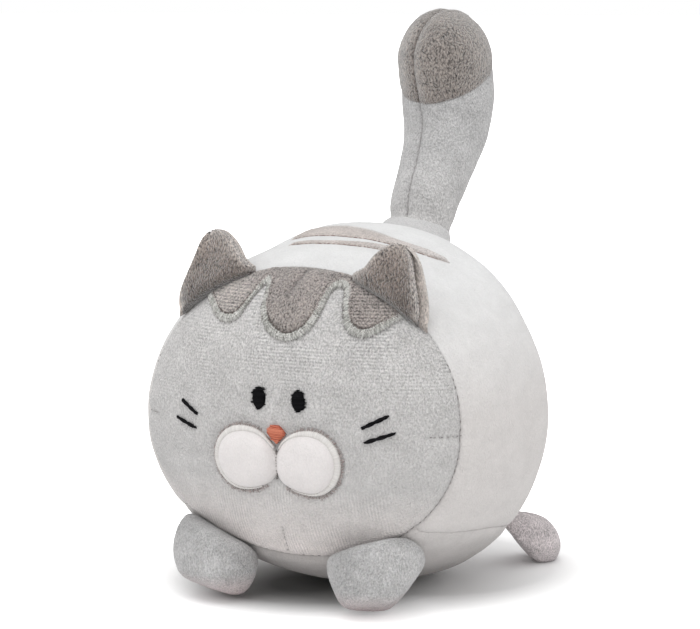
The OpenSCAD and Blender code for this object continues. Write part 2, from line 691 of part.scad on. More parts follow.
PAW_SIDES = 20;
paw_fabric = 0.8 * fabric;
PAW_TILTS = [18, 36, 54, 72, 88];
function paw_ring(paw, tilt, grow) =
    [for (k = [0 : PAW_SIDES - 1]) paw_point(paw, tilt, 360 * k / PAW_SIDES, grow)];
// One half of the paw's cover: half 0 is the side at the body, half 1 the side away from it
module paw_cover(paw, half) {
    tilts = [for (tilt = PAW_TILTS) half == 0 ? tilt : 180 - tilt];
    pole = half == 0 ? 0 : 180;
    outer = [for (tilt = tilts) paw_ring(paw, tilt, 0)];
    inner = [for (tilt = tilts) paw_ring(paw, tilt, -paw_fabric)];
    if (half == 0)
        ring_solid(concat(inner, reversed(outer)),
                   paw_point(paw, pole, 0, -paw_fabric), paw_point(paw, pole, 0, 0));
    else
        ring_solid(concat(outer, reversed(inner)),
                   paw_point(paw, pole, 0, 0), paw_point(paw, pole, 0, -paw_fabric));
}
module paw_filling(paw) {
    core = -paw_fabric - filling_gap;
    tilts = concat([for (tilt = PAW_TILTS) 180 - tilt], reversed(PAW_TILTS));
    ring_solid([for (tilt = tilts) paw_ring(paw, tilt, core)],
               paw_point(paw, 180, 0, core), paw_point(paw, 0, 0, core));
}
module paw_piece(paw, side, kind) {
    color(kind == 2 ? FILL : TAIL_GREY) place()
        mirror([side > 0 ? 0 : 1, 0, 0])
            if (kind == 2) paw_filling(paw);
            else paw_cover(paw, kind == 1 ? 0 : 1);
}

// ---------------------------------------------------------------- the assembly

module place() {
    translate([0, girth_y, 0]) children();
}

face_panel();
back_panel();
belly_panel();
body_stuffing();
closing_stitches();
forehead_patch();
forehead_edging();
back_stripe(front_stripe_y, front_stripe_width);  // back_stripe_front
back_stripe(rear_stripe_y, rear_stripe_width);  // back_stripe_rear
muzzle_pad(1);  // muzzle_pad_left
muzzle_pad(-1);  // muzzle_pad_right
muzzle_border(1);  // muzzle_border_left
muzzle_border(-1);  // muzzle_border_right
nose();
eye(1);  // eye_left
eye(-1);  // eye_right
whiskers(1);  // whiskers_left
whiskers(-1);  // whiskers_right
ear(1, -1);  // ear_left_front
ear(1, 1);  // ear_left_back
ear(-1, -1);  // ear_right_front
ear(-1, 1);  // ear_right_back
tail_tube(1);  // tail_left
tail_tube(-1);  // tail_right
tail_tip(1);  // tail_tip_left
tail_tip(-1);  // tail_tip_right
tail_stuffing();
paw_piece(front_paw(), 1, 0);  // front_paw_left_top
paw_piece(front_paw(), 1, 1);  // front_paw_left_under
paw_piece(front_paw(), 1, 2);  // front_paw_left_stuffing
paw_piece(front_paw(), -1, 0);  // front_paw_right_top
paw_piece(front_paw(), -1, 1);  // front_paw_right_under
paw_piece(front_paw(), -1, 2);  // front_paw_right_stuffing
paw_piece(rear_paw(), 1, 0);  // rear_paw_left_top
paw_piece(rear_paw(), 1, 1);  // rear_paw_left_under
paw_piece(rear_paw(), 1, 2);  // rear_paw_left_stuffing
paw_piece(rear_paw(), -1, 0);  // rear_paw_right_top
paw_piece(rear_paw(), -1, 1);  // rear_paw_right_under
paw_piece(rear_paw(), -1, 2);  // rear_paw_right_stuffing
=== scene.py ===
# %% [markdown]
# # A plush cat, piece by piece
# The cat is a bag of short-pile fabric stuffed with fibre: a grey face, a white back and a warm grey belly
# are sewn into one round body, and two ears, four paws and a tail are stuffed apart and sewn on. The packed
# part gives the true size and place of every piece. Here each plain solid gets a dressed piece in its
# place: a cover with puckered seams, a nap, and stitches of real thread.

# %% Load the frame
import math
import bpy
import bmesh
import numpy as np
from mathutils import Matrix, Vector, kdtree, noise


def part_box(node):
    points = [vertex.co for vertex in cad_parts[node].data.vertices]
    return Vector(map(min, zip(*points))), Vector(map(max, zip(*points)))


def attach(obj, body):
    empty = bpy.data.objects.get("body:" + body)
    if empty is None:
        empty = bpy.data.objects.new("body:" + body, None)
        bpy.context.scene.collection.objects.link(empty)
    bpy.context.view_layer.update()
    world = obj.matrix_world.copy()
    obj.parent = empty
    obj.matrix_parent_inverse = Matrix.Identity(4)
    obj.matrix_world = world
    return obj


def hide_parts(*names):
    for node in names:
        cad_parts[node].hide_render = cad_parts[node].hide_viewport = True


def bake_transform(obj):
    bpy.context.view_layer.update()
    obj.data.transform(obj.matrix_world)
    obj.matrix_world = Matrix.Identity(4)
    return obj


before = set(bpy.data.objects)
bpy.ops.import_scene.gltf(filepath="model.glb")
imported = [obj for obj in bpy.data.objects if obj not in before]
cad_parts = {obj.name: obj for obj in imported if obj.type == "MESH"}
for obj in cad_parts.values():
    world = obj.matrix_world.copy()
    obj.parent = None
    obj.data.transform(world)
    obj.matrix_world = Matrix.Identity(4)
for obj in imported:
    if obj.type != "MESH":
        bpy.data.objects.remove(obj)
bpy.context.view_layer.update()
MM = 0.001
SIDES = ((1, "left"), (-1, "right"))   # the cat's own sides, and the sign of x on each

# %% [markdown]
# ## The shape of the body
# The body is a super-ellipse in plan and across: fuller than an egg at the face, rounder at the rump, and a
# little lower at the front than at the back. Its half width and its front and rear reach come from the
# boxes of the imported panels. One formula then serves the panels, the patches sewn on them and every seam,
# so that all of them lie on the same surface. A sphere pushed about by hand would drift away from the
# stripes and the ears.

# %% Body sizes
GIRTH_Y = -15 * MM                     # y of the widest girth, a little in front of the origin
HALF_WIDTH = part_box("back_panel")[1].x
FRONT_DEPTH = GIRTH_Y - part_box("face_panel")[0].y
REAR_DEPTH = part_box("back_panel")[1].y - GIRTH_Y
CENTRE_Z = 66.2 * MM                   # height of the widest girth's middle
BACK_HEIGHT = 72 * MM
BELLY_DROP = CENTRE_Z
BACK_RISE = 0.15                       # the back rises and the belly deepens towards the rump
BELLY_FALL = 0.24
FRONT_POWER, REAR_POWER, GIRTH_POWER = 3.2, 2.4, 2.05
print("body in mm: half width %.1f, front %.1f, rear %.1f" % tuple(
    v / MM for v in (HALF_WIDTH, FRONT_DEPTH, REAR_DEPTH)))


def smooth(s):
    """Eases a share from 0 to 1 in and out."""
    return s * s * (3 - 2 * s)


def half_height(above, y):
    """Half height of the girth at a place y fore or aft of the widest one."""
    return np.where(above, BACK_HEIGHT * (1 + BACK_RISE * y / HALF_WIDTH),
                    BELLY_DROP * (1 + BELLY_FALL * y / HALF_WIDTH))


def girth_share(t):
    """Share of the full girth left at t, from -90 at the face to 90 at the rump."""
    power = np.where(t < 0, FRONT_POWER, REAR_POWER)
    return np.maximum(0, 1 - np.abs(np.sin(np.radians(t))) ** power) ** (1 / power)


def skin(t, a):
    """Points of the body: a runs round it from the cat's left, over the back, in degrees."""
    t, a = np.broadcast_arrays(np.asarray(t, float), np.asarray(a, float))
    y = np.where(t < 0, FRONT_DEPTH, REAR_DEPTH) * np.sin(np.radians(t))
    c, s = np.cos(np.radians(a)), np.sin(np.radians(a))
    k = GIRTH_POWER
    reach = girth_share(t) * (np.abs(c) ** k + np.abs(s) ** k) ** (-1 / k)
    return np.stack([HALF_WIDTH * reach * c, y + GIRTH_Y, CENTRE_Z + half_height(s > 0, y) * reach * s], -1)


def fullness(points):
    """1 on the body's surface, less inside and more outside it."""
    y = points[..., 1] - GIRTH_Y
    h = half_height(points[..., 2] > CENTRE_Z, y)
    k = GIRTH_POWER
    round_the_girth = (np.abs(points[..., 0] / HALF_WIDTH) ** k
                       + np.abs((points[..., 2] - CENTRE_Z) / h) ** k) ** (1 / k)
    power = np.where(y < 0, FRONT_POWER, REAR_POWER)
    depth = np.where(y < 0, FRONT_DEPTH, REAR_DEPTH)
    return round_the_girth ** power + np.abs(y / depth) ** power


def outward(points):
    """Unit normals of the body at points on its surface."""
    step = 0.2 * MM
    slopes = [fullness(points + step * axis) - fullness(points - step * axis) for axis in np.eye(3)]
    normals = np.stack(slopes, -1)
    return normals / np.linalg.norm(normals, axis=-1, keepdims=True)


def face_point(x, z):
    """Point of the face at a place x, z seen from the front."""
    x, z = np.broadcast_arrays(np.asarray(x, float), np.asarray(z, float))
    y = np.full(x.shape, -FRONT_DEPTH)
    for _ in range(4):
        k = GIRTH_POWER
        share = (np.abs(x / HALF_WIDTH) ** k
                 + np.abs((z - CENTRE_Z) / half_height(z > CENTRE_Z, y)) ** k) ** (1 / k)
        y = -FRONT_DEPTH * np.maximum(0, 1 - np.minimum(1, share) ** FRONT_POWER) ** (1 / FRONT_POWER)
    return np.stack([x, y + GIRTH_Y, z], -1)


def back_point(x, y):
    """Point of the top of the back at a place x, y seen from above."""
    x, y = np.broadcast_arrays(np.asarray(x, float), np.asarray(y, float) - GIRTH_Y)
    t = np.degrees(np.arcsin(y / np.where(y < 0, FRONT_DEPTH, REAR_DEPTH)))
    share = girth_share(t)
    rise = np.maximum(0, 1 - (np.abs(x) / (HALF_WIDTH * share)) ** GIRTH_POWER) ** (1 / GIRTH_POWER)
    return np.stack([x, y + GIRTH_Y, CENTRE_Z + half_height(True, y) * share * rise], -1)

# %% [markdown]
# ## Where the seams run
# Real panels are flat pieces of fabric, and they show as panels because the thread pulls each seam into a
# groove. The face seam goes round the body in a plane that leans a little. The belly panel is a long oval
# behind it. The face also has four darts, where a fold of fabric was sewn away so that the flat cloth could
# turn the corner of the body. Each seam is kept as a line of closely spaced points: what lies near it
# sinks.

# %% Seam lines
FACE_SEAM = 43.6 * MM                  # forward of the widest girth
FACE_SEAM_LEAN = 0.07
BELLY_WIDEST, BELLY_END = 0.28, 0.78   # shares of the way from the face seam to the rump
BELLY_HALF, BELLY_FRONT = 54, 48       # half angles of the belly panel, in degrees


def face_seam_t(a):
    """Angle t at which the face seam crosses the direction a."""
    y = np.full(np.shape(a), -FACE_SEAM)
    for _ in range(4):
        z = skin(np.degrees(np.arcsin(y / FRONT_DEPTH)), a)[..., 2]
        y = -FACE_SEAM + FACE_SEAM_LEAN * (z - CENTRE_Z)
    return np.degrees(np.arcsin(y / FRONT_DEPTH))


def rump_point(u, a):
    """Point behind the face seam: u runs from the seam to the rump."""
    start = face_seam_t(a)
    return skin(start + (90 - start) * u, a)


def belly_edge(u):
    """Half angle of the belly panel at a share u."""
    front = BELLY_HALF - (BELLY_HALF - BELLY_FRONT) * np.clip(1 - u / BELLY_WIDEST, 0, 1) ** 2
    rest = np.clip((u - BELLY_WIDEST) / (BELLY_END - BELLY_WIDEST), 0, 1)
    return np.where(u < BELLY_WIDEST, front, BELLY_HALF * np.sqrt(np.maximum(0, 1 - rest ** 2.6)))


def dart(start, end):
    """A short straight seam on the face, given by the x and z of its ends."""
    s = np.linspace(0, 1, 40)
    return face_point(start[0] + (end[0] - start[0]) * s, start[1] + (end[1] - start[1]) * s)


FACE_SEAM_LINE = skin(face_seam_t(np.linspace(0, 360, 1200)), np.linspace(0, 360, 1200))
belly_u = np.linspace(0, 1, 400)[:, None] * BELLY_END
BELLY_SEAM_LINE = np.concatenate([
    rump_point(belly_u[:, 0], -90 + side * belly_edge(belly_u[:, 0])) for side in (1, -1)])
CLOSING_SEAM_LINE = rump_point(np.linspace(BELLY_END, 1, 120), -90.0)
DARTS = {
    "crown": dart((-1 * MM, 117 * MM), (2.7 * MM, 126 * MM)),
    "chin": dart((-0.5 * MM, 32 * MM), (-1.8 * MM, 20.5 * MM)),
    "left cheek": dart((56 * MM, 69.5 * MM), (67 * MM, 69.5 * MM)),
    "right cheek": dart((-56 * MM, 69.5 * MM), (-67 * MM, 69.5 * MM)),
}

# %% Measuring along a line and away from it
def run_of(line):
    """How far along a line each of its points lies."""
    return np.concatenate([[0], np.cumsum(np.linalg.norm(np.diff(line, axis=0), axis=1))])


def tree_of(line):
    """A search tree over a line's points, for distances."""
    tree = kdtree.KDTree(len(line))
    for i, p in enumerate(line):
        tree.insert(p, i)
    tree.balance()
    return tree


def distance_to(line, points):
    """Distance from each point to a line, and how far along the line its nearest point lies."""
    tree = tree_of(line)
    along = run_of(line)
    found = [tree.find(p) for p in points.reshape(-1, 3)]
    d = np.array([f[2] for f in found]).reshape(points.shape[:-1])
    s = along[np.array([f[1] for f in found])].reshape(points.shape[:-1])
    return d, s


def wander(points, size, seed):
    """Smooth unevenness from -1 to 1, with lumps of about the given size."""
    offset = Vector((17.3 * seed, 5.1 * seed, 9.7 * seed))
    flat = points.reshape(-1, 3) / size
    return np.array([noise.noise(Vector(p) + offset) for p in flat]).reshape(points.shape[:-1])


print("face seam: %.0f mm round" % (run_of(FACE_SEAM_LINE)[-1] / MM))

# %% [markdown]
# ## Sinking and swelling
# A seam is more than a line: the thread pulls the cloth down, the filling pushes it up again on both sides,
# and the cloth rucks a little between the stitches. One function gives that height for any point of the
# body, so a panel, a patch and a stitch at the same place all rise and fall together. Working it out at
# each point costs more than a displacement map would, but the meshes keep their shape wherever they are
# opened.

# %% Sizes of the face's sewn-on pieces, from their boxes
def middle_and_size(node):
    """Middle and size of a node's box."""
    low, high = (np.array(corner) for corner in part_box(node))
    return (low + high) / 2, high - low


EYE_MIDDLE, EYE_SIZE = middle_and_size("eye_left")
NOSE_MIDDLE, NOSE_SIZE = middle_and_size("nose")
MUZZLE_MIDDLE, MUZZLE_SIZE = middle_and_size("muzzle_border_left")
MUZZLE_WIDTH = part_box("muzzle_border_left")[1].x
MUZZLE_X = 0.55 * MUZZLE_WIDTH
MUZZLE_GAP = -0.4 * MM


def muzzle_rim(a, inset):
    """Rim of a muzzle pad, as x and z from its middle: round outside, cut straight where the pads meet."""
    out = np.where(np.cos(a) > 0, MUZZLE_WIDTH - MUZZLE_X, MUZZLE_X + 1 * MM)
    x = np.maximum((out - inset) * np.cos(a), -MUZZLE_X + MUZZLE_GAP + inset)
    return x, (MUZZLE_SIZE[2] / 2 - inset) * np.sin(a)


def muzzle_outline(side, inset):
    """Points of the face round a muzzle pad."""
    x, z = muzzle_rim(np.linspace(0, 2 * math.pi, 120, endpoint=False), inset)
    return face_point(side * (MUZZLE_X + x), MUZZLE_MIDDLE[2] + z)


print("eye %.1f x %.1f mm, nose %.1f x %.1f mm, muzzle pad %.1f mm wide" % (
    EYE_SIZE[0] / MM, EYE_SIZE[2] / MM, NOSE_SIZE[0] / MM, NOSE_SIZE[2] / MM, MUZZLE_WIDTH / MM))

# %% The height of the cover over the plain body
TAIL_TURN = 53                         # angle over the rump where the tail is sewn on
TAIL_SEAT = skin(TAIL_TURN, 90.0)
COLLAR_REACH, COLLAR_RISE = 20 * MM, 1.0 * MM
STITCH = 3.2 * MM                      # from one stitch of a seam to the next
BROW_PULL = 0.3                        # share of the face seam's pull that is left on the brow
PULL_TOP, PULL_FADE = 92 * MM, 22 * MM   # it is that weak above this height, and grows over this below
VALLEY, CREASE = 2.1 * MM, 0.6 * MM    # how far a seam's valley and its crease reach
PUFF_PLACE, PUFF_REACH = 4.5 * MM, 2.6 * MM   # where the cloth swells beside a seam, and how far
RUCK_REACH = 1.7 * MM


def seam_pull(points):
    """How hard the thread pulls at a place of the face seam: firmly low down, hardly at all on the brow."""
    s = np.clip((PULL_TOP - points[..., 2]) / PULL_FADE, 0, 1)
    return BROW_PULL + (1 - BROW_PULL) * smooth(s)


def stitch_beat(s):
    """A wave from -1 to 1 along a seam, one for each stitch, and not quite even."""
    return np.cos(2 * math.pi * s / STITCH + 1.5 * np.sin(s / (11 * MM)))


def groove(points, line, valley, crease, puff, ruck, fade_ends=False):
    """Height near a seam: a soft valley, a fine crease, a swelling beside it and a ruck at each stitch."""
    d, s = distance_to(line, points)
    total = -valley * np.exp(-(d / VALLEY) ** 2) - crease * np.exp(-(d / CREASE) ** 1.3)
    total = total + puff * np.exp(-((d - PUFF_PLACE) / PUFF_REACH) ** 2)
    total = total + ruck * stitch_beat(s) * np.exp(-(d / RUCK_REACH) ** 1.5)
    if fade_ends:
        share = np.clip(s / run_of(line)[-1], 0, 1)
        total = total * np.clip(np.sin(math.pi * share) * 1.6, 0, 1)
    return total


def dimple(points, centre, depth, radius):
    """A soft hollow round a point."""
    d = np.linalg.norm(points - centre, axis=-1)
    return -depth * np.exp(-(d / radius) ** 2)


def collar(points):
    """The back's fabric is drawn up a little round the root of the tail."""
    d = np.linalg.norm(points - TAIL_SEAT, axis=-1)
    s = np.clip((1.5 * COLLAR_REACH - d) / (0.5 * COLLAR_REACH), 0, 1)
    return COLLAR_RISE * smooth(s)


BROW_HOLLOWS = [back_point(side * 34 * MM, -22 * MM) for side in (1, -1)]
SIDE_HOLLOWS = [(skin(-5, -3), 0.8 * MM, 7 * MM), (skin(-2, 12), 0.6 * MM, 8 * MM),
                (skin(22, 30), 0.8 * MM, 13 * MM), (skin(12, -20), 0.6 * MM, 10 * MM)]


def relief(points):
    """Height of the sewn and stuffed cover over the plain body, at points on the plain body."""
    h = 0.55 * MM * wander(points, 34 * MM, 1) + 0.16 * MM * wander(points, 9 * MM, 2)
    h += groove(points, FACE_SEAM_LINE, 0.8 * MM, 0.45 * MM, 0.35 * MM, 0.16 * MM) * seam_pull(points)
    h += groove(points, BELLY_SEAM_LINE, 0.3 * MM, 0.15 * MM, 0.1 * MM, 0.06 * MM)
    h += groove(points, CLOSING_SEAM_LINE, 0.7 * MM, 0.5 * MM, 0.2 * MM, 0.15 * MM)
    for line in DARTS.values():
        h += groove(points, line, 0.45 * MM, 0.35 * MM, 0.3 * MM, 0.12 * MM, fade_ends=True)
    for side, brow_hollow in zip((1, -1), BROW_HOLLOWS):
        h += dimple(points, face_point(side * EYE_MIDDLE[0], EYE_MIDDLE[2]), 0.9 * MM, 6 * MM)
        h += dimple(points, brow_hollow, 1.3 * MM, 17 * MM)
        h += groove(points, muzzle_outline(side, -0.6 * MM), 0.6 * MM, 0.3 * MM, 0.2 * MM, 0.05 * MM)
    for centre, depth, radius in SIDE_HOLLOWS:
        h += dimple(points, centre, depth, radius)
    h += collar(points)
    return h


def cover(points, lift=0.0):
    """Points of the finished cover over points of the plain body, and no lower than the floor."""
    raised = points + outward(points) * (relief(points) + lift)[..., None]
    soft = 0.5 * MM
    z = raised[..., 2]
    raised[..., 2] = (z + np.sqrt(z * z + soft * soft)) / 2
    return raised

# %% [markdown]
# ## Turning points into cloth
# Each panel is a grid of points with a matching grid a fabric's thickness further in, closed round the
# edge. That makes a real piece of cloth with two faces and a hem, which the Solidify modifier would also
# give, but here the hem can be turned in at the seams. The face is a round piece, so its grid is a square
# pressed into a disc: that has no pole in the middle, where the muzzle sits and a fan of slivers would
# show.

# %% Making a closed piece from two grids
def link(obj, material):
    """Puts a new mesh object in the scene with its material, smooth shaded."""
    bpy.context.scene.collection.objects.link(obj)
    obj.data.materials.append(material)
    obj.data.shade_smooth()
    return obj


def mesh_object(name, verts, faces, material):
    """A mesh object with all its faces pointing outward."""
    mesh = bpy.data.meshes.new(name)
    mesh.from_pydata(np.asarray(verts).reshape(-1, 3).tolist(), [], faces)
    bm = bmesh.new()
    bm.from_mesh(mesh)
    bmesh.ops.recalc_face_normals(bm, faces=bm.faces)
    bm.to_mesh(mesh)
    bm.free()
    return link(bpy.data.objects.new(name, mesh), material)


def grid_faces(rows, columns, start=0):
    """Quads between neighbouring points of a grid."""
    r, c = np.meshgrid(np.arange(rows - 1), np.arange(columns - 1), indexing="ij")
    a = start + r.ravel() * columns + c.ravel()
    return np.stack([a, a + 1, a + columns + 1, a + columns], -1).tolist()


def cloth(name, outer, inner, material):
    """A closed piece of fabric between an outer and an inner grid of points."""
    rows, columns = outer.shape[:2]
    low = rows * columns
    rim = ([c for c in range(columns)] + [r * columns + columns - 1 for r in range(1, rows)]
           + [(rows - 1) * columns + c for c in range(columns - 2, -1, -1)]
           + [r * columns for r in range(rows - 2, 0, -1)])
    faces = grid_faces(rows, columns) + [f[::-1] for f in grid_faces(rows, columns, low)]
    faces += [[b, a, a + low, b + low] for a, b in zip(rim, rim[1:] + rim[:1])]
    obj = mesh_object(name, np.concatenate([outer.reshape(-1, 3), inner.reshape(-1, 3)]), faces, material)
    print(name + ":", len(obj.data.vertices), "points")
    return obj


def graded(count, start, end):
    """Shares from 0 to 1, drawn closer together at the start and the end."""
    x = np.linspace(0, 1, count)
    near_start = 1 - np.sin(math.pi / 2 * (1 - x))
    near_end = np.sin(math.pi / 2 * x)
    plain = 1 - start - end
    return plain * x + start * near_start + end * near_end


def disc_grid(count):
    """A square grid pressed into a disc: radius from 0 to 1, and angle in degrees."""
    v, u = np.meshgrid(np.linspace(-1, 1, count), np.linspace(-1, 1, count), indexing="ij")
    p, q = u * np.sqrt(1 - v * v / 2), v * np.sqrt(1 - u * u / 2)
    return np.minimum(1, np.hypot(p, q)), np.degrees(np.arctan2(q, p))

# %% [markdown]
# ## Short-pile plush
# Plush is a knitted ground with a dense pile of fine fibres. From a hand's width away it shows three
# things: a grain of tiny tufts, faint rows where the knit shows through, and soft patches where the pile
# has been brushed one way or another. At a glancing angle the fibre ends catch light, which is the sheen.
# Hair particles would make true fibres, but at this length they cost much and add little, so noise in
# several sizes drives the colour and the bump, and the Principled shader's sheen does the rest. Some
# pieces also have shade and sheen painted into their colour.

# %% A material for plush
def rgb(r, g, b):
    """A colour given in the usual 0 to 255 steps, as the shader wants it."""
    return tuple(v / 12.92 if v <= 0.04045 else ((v + 0.055) / 1.055) ** 2.4
                 for v in (r / 255, g / 255, b / 255)) + (1.0,)


def shade(colour, factor):
    """A lighter or darker version of a colour."""
    return tuple(min(1.0, v * factor) for v in colour[:3]) + (1.0,)


class Nodes:
    """Short words for building a material's node tree."""

    def __init__(self, name):
        self.material = bpy.data.materials.new(name)
        self.material.use_nodes = True
        self.tree = self.material.node_tree
        self.shader = self.tree.nodes["Principled BSDF"]
        self.place = self.new("ShaderNodeTexCoord").outputs["Object"]

    def new(self, kind, **settings):
        """A new node, with values for its settings and its named inputs."""
        node = self.tree.nodes.new(kind)
        for key, value in settings.items():
            if hasattr(node, key):
                setattr(node, key, value)
            else:
                node.inputs[key.replace("_", " ").title()].default_value = value
        return node

    def join(self, source, target):
        """Links an output to an input."""
        self.tree.links.new(source, target)

    def noise(self, scale, stretch=(1, 1, 1), detail=2.0, tilt=0.0):
        """Noise over the object, with lumps of 1 / scale metres, stretched and leaning sideways."""
        mapping = self.new("ShaderNodeMapping")
        mapping.inputs["Scale"].default_value = stretch
        mapping.inputs["Rotation"].default_value = (0, math.radians(tilt), 0)
        texture = self.new("ShaderNodeTexNoise")
        texture.inputs["Scale"].default_value = scale
        texture.inputs["Detail"].default_value = detail
        self.join(self.place, mapping.inputs["Vector"])
        self.join(mapping.outputs["Vector"], texture.inputs["Vector"])
        return texture.outputs["Fac"]

    def spread(self, value, low, high, to_low=0.0, to_high=1.0):
        """Stretches the range from low to high over 0 to 1, or over another range."""
        node = self.new("ShaderNodeMapRange")
        node.inputs["From Min"].default_value = low
        node.inputs["From Max"].default_value = high
        node.inputs["To Min"].default_value = to_low
        node.inputs["To Max"].default_value = to_high
        self.join(value, node.inputs["Value"])
        return node.outputs["Result"]

    def mix(self, factor, a, b, blend="MIX"):
        """Mixes two colours: each is an output or a plain colour."""
        node = self.new("ShaderNodeMix", data_type="RGBA", blend_type=blend)
        for source, socket in ((factor, node.inputs[0]), (a, node.inputs[6]), (b, node.inputs[7])):
            if isinstance(source, (tuple, float, int)):
                socket.default_value = source
            else:
                self.join(source, socket)
        return node.outputs[2]

    def maths(self, operation, a, b):
        """One sum on two values."""
        node = self.new("ShaderNodeMath", operation=operation)
        for source, socket in ((a, node.inputs[0]), (b, node.inputs[1])):
            if isinstance(source, (float, int)):
                socket.default_value = source
            else:
                self.join(source, socket)
        return node.outputs[0]

    def bump(self, height, distance, strength, normal=None):
        """Turns a height into a bumped normal."""
        node = self.new("ShaderNodeBump")
        node.inputs["Distance"].default_value = distance
        node.inputs["Strength"].default_value = strength
        self.join(height, node.inputs["Height"])
        if normal is not None:
            self.join(normal, node.inputs["Normal"])
        return node.outputs["Normal"]


TUFT = 0.6 * MM                        # width of a tuft of the pile


def knit(n, direction, pitch, amount, axis, low, high, patchy=True):
    """Rows or columns of the knitted ground, shown only where x or z lies beyond a limit."""
    wave = n.new("ShaderNodeTexWave", wave_type="BANDS", bands_direction=direction)
    wave.inputs["Scale"].default_value = 0.314 / pitch
    wave.inputs["Distortion"].default_value = 1.6
    wave.inputs["Detail Scale"].default_value = 1.2
    n.join(n.place, wave.inputs["Vector"])
    part = n.new("ShaderNodeSeparateXYZ")
    n.join(n.place, part.inputs[0])
    where = part.outputs[axis]
    if axis == "X":
        where = n.maths("ABSOLUTE", where, 0.0)
    shown = n.spread(where, low, high, 0.0, amount)
    if patchy:
        shown = n.maths("MULTIPLY", shown, n.spread(n.noise(1 / (14 * MM), (1, 1, 1), 1.0), 0.44, 0.60))
    return n.maths("MULTIPLY", n.maths("SUBTRACT", wave.outputs["Fac"], 0.5), shown)


def plush(name, colour, low_colour, grain, mottle, lie=(1, 1, 0.7), pile=0.35 * MM, sheen=0.3, knits=(),
          seam=0.5, seam_colour=None, tilt=0.0, between=(20 * MM, 95 * MM), pale_colour=None, calm=None):
    """Short-pile plush: tufts, knitted rows, brushed patches, dark seams, and painted shade and sheen."""
    n = Nodes(name)
    part = n.new("ShaderNodeSeparateXYZ")
    n.join(n.place, part.inputs[0])
    tone = n.mix(n.spread(part.outputs["Z"], *between), low_colour, colour)
    # paler where marked: brushed pile, painted sheen on the ears' rims, painted light on the brow
    pale_share = n.new("ShaderNodeAttribute", attribute_name="pale")
    tone = n.mix(pale_share.outputs["Fac"], tone, pale_colour or shade(colour, 1.3))
    # the grain: tufts, and fine specks between them
    raw = n.noise(1 / TUFT, lie, 3.0, tilt)
    tufts = n.spread(raw, 0.34, 0.66)
    fine = n.spread(n.noise(2.1 / TUFT, lie, 2.0, tilt), 0.32, 0.68)
    speck = n.maths("ADD", n.spread(tufts, 0, 1, -grain, grain), n.spread(fine, 0, 1, -grain / 2, grain / 2))
    if calm:
        speck = n.maths("MULTIPLY", speck, n.spread(part.outputs["Z"], calm[0], calm[1], calm[2], 1.0))
    # brushed patches, large and small
    patches = n.spread(n.noise(1 / (12 * MM), (1, 1, 1.5), 3.0), 0.35, 0.65, -mottle, mottle)
    small = n.spread(n.noise(1 / (3.2 * MM), (1, 1, 0.8), 2.0), 0.35, 0.65, -mottle / 2, mottle / 2)
    total = n.maths("ADD", n.maths("ADD", speck, 1.0), n.maths("ADD", patches, small))
    for settings in knits:
        total = n.maths("ADD", total, knit(n, *settings))
    tone = n.mix(1.0, tone, total, "MULTIPLY")
    # darker cloth in the seams, and painted shade in the creases and roots that some pieces mark
    depth = n.new("ShaderNodeAttribute", attribute_name="seam")
    tone = n.mix(n.maths("MULTIPLY", depth.outputs["Fac"], seam), tone, seam_colour or shade(colour, 0.32))
    n.join(tone, n.shader.inputs["Base Color"])
    height = n.maths("ADD", n.maths("MULTIPLY", tufts, 0.65), n.maths("MULTIPLY", fine, 0.35))
    n.join(n.bump(height, pile, 1.0, n.bump(raw, 2 * pile, 0.3)), n.shader.inputs["Normal"])
    n.shader.inputs["Roughness"].default_value = 0.95
    n.shader.inputs["Specular IOR Level"].default_value = 0.12
    n.shader.inputs["Sheen Weight"].default_value = sheen
    n.shader.inputs["Sheen Roughness"].default_value = 0.5
    n.shader.inputs["Sheen Tint"].default_value = (1, 1, 1, 1)
    print("plush:", name)
    return n.material


# low down the face is warmer and much paler: the warmth is its own, the paleness is painted light
GREY_PLUSH = plush("grey_plush", rgb(202, 200, 199), rgb(240, 232, 229), grain=0.28, mottle=0.05,
                   between=(18 * MM, 50 * MM), calm=(50 * MM, 100 * MM, 0.35),
                   knits=[("Z", 1.2 * MM, 0.26, "Z", 70 * MM, 95 * MM),
                          ("X", 1.2 * MM, 0.22, "Z", 60 * MM, 35 * MM)])
# the back's colour darkens from its top down its sides: painted shade
WHITE_PLUSH = plush("white_plush", rgb(228, 228, 228), rgb(213, 209, 207), grain=0.04, mottle=0.03,
                    pile=0.2 * MM, seam=0.35, between=(75 * MM, 122 * MM))
# the belly's colour darkens towards the floor: painted shade under the body
BELLY_PLUSH = plush("belly_plush", rgb(206, 202, 200), rgb(166, 161, 159), grain=0.05, mottle=0.04,
                    pile=0.2 * MM, seam=0.15, between=(10 * MM, 26 * MM))

# %% [markdown]
# ## The three body panels
# The face panel is a disc that ends at the face seam, the back panel wraps over the rump down to the belly,
# and the belly panel is an oval underneath. They could be one mesh with three colours, but the toy is sewn
# from three pieces, and separate pieces give true seams: each edge turns inward into the groove.

# %% Cutting and sewing the panels
FABRIC = 2.2 * MM


def mark_seams(obj, outer, lines, width=0.55 * MM):
    """Keeps how near each point of a piece is to a seam's stitches, for the material to darken."""
    near = np.zeros(outer.shape[:-1])
    for line, pull in lines:
        d, s = distance_to(line, outer)
        beat = 0.6 + 0.4 * stitch_beat(s)
        strength = pull(outer) if callable(pull) else pull
        near = np.maximum(near, strength * beat * np.exp(-(d / width) ** 2))
    keep(obj, "seam", near)


def keep(obj, name, values):
    """Stores a value for each point of both sides of a piece of cloth."""
    both = np.concatenate([values.ravel(), values.ravel()]).astype(np.float32)
    obj.data.attributes.new(name, "FLOAT", "POINT").data.foreach_set("value", both)


def panel(name, base, material, nodes, lines):
    """A body panel over a grid of points on the plain body."""
    outer = cover(base)
    inner = base - outward(base) * (FABRIC + 2 * MM)
    inner[..., 2] = np.maximum(inner[..., 2], FABRIC)
    obj = cloth(name, outer, inner, material)
    mark_seams(obj, base, lines)
    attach(obj, "body")
    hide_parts(*nodes)
    return obj


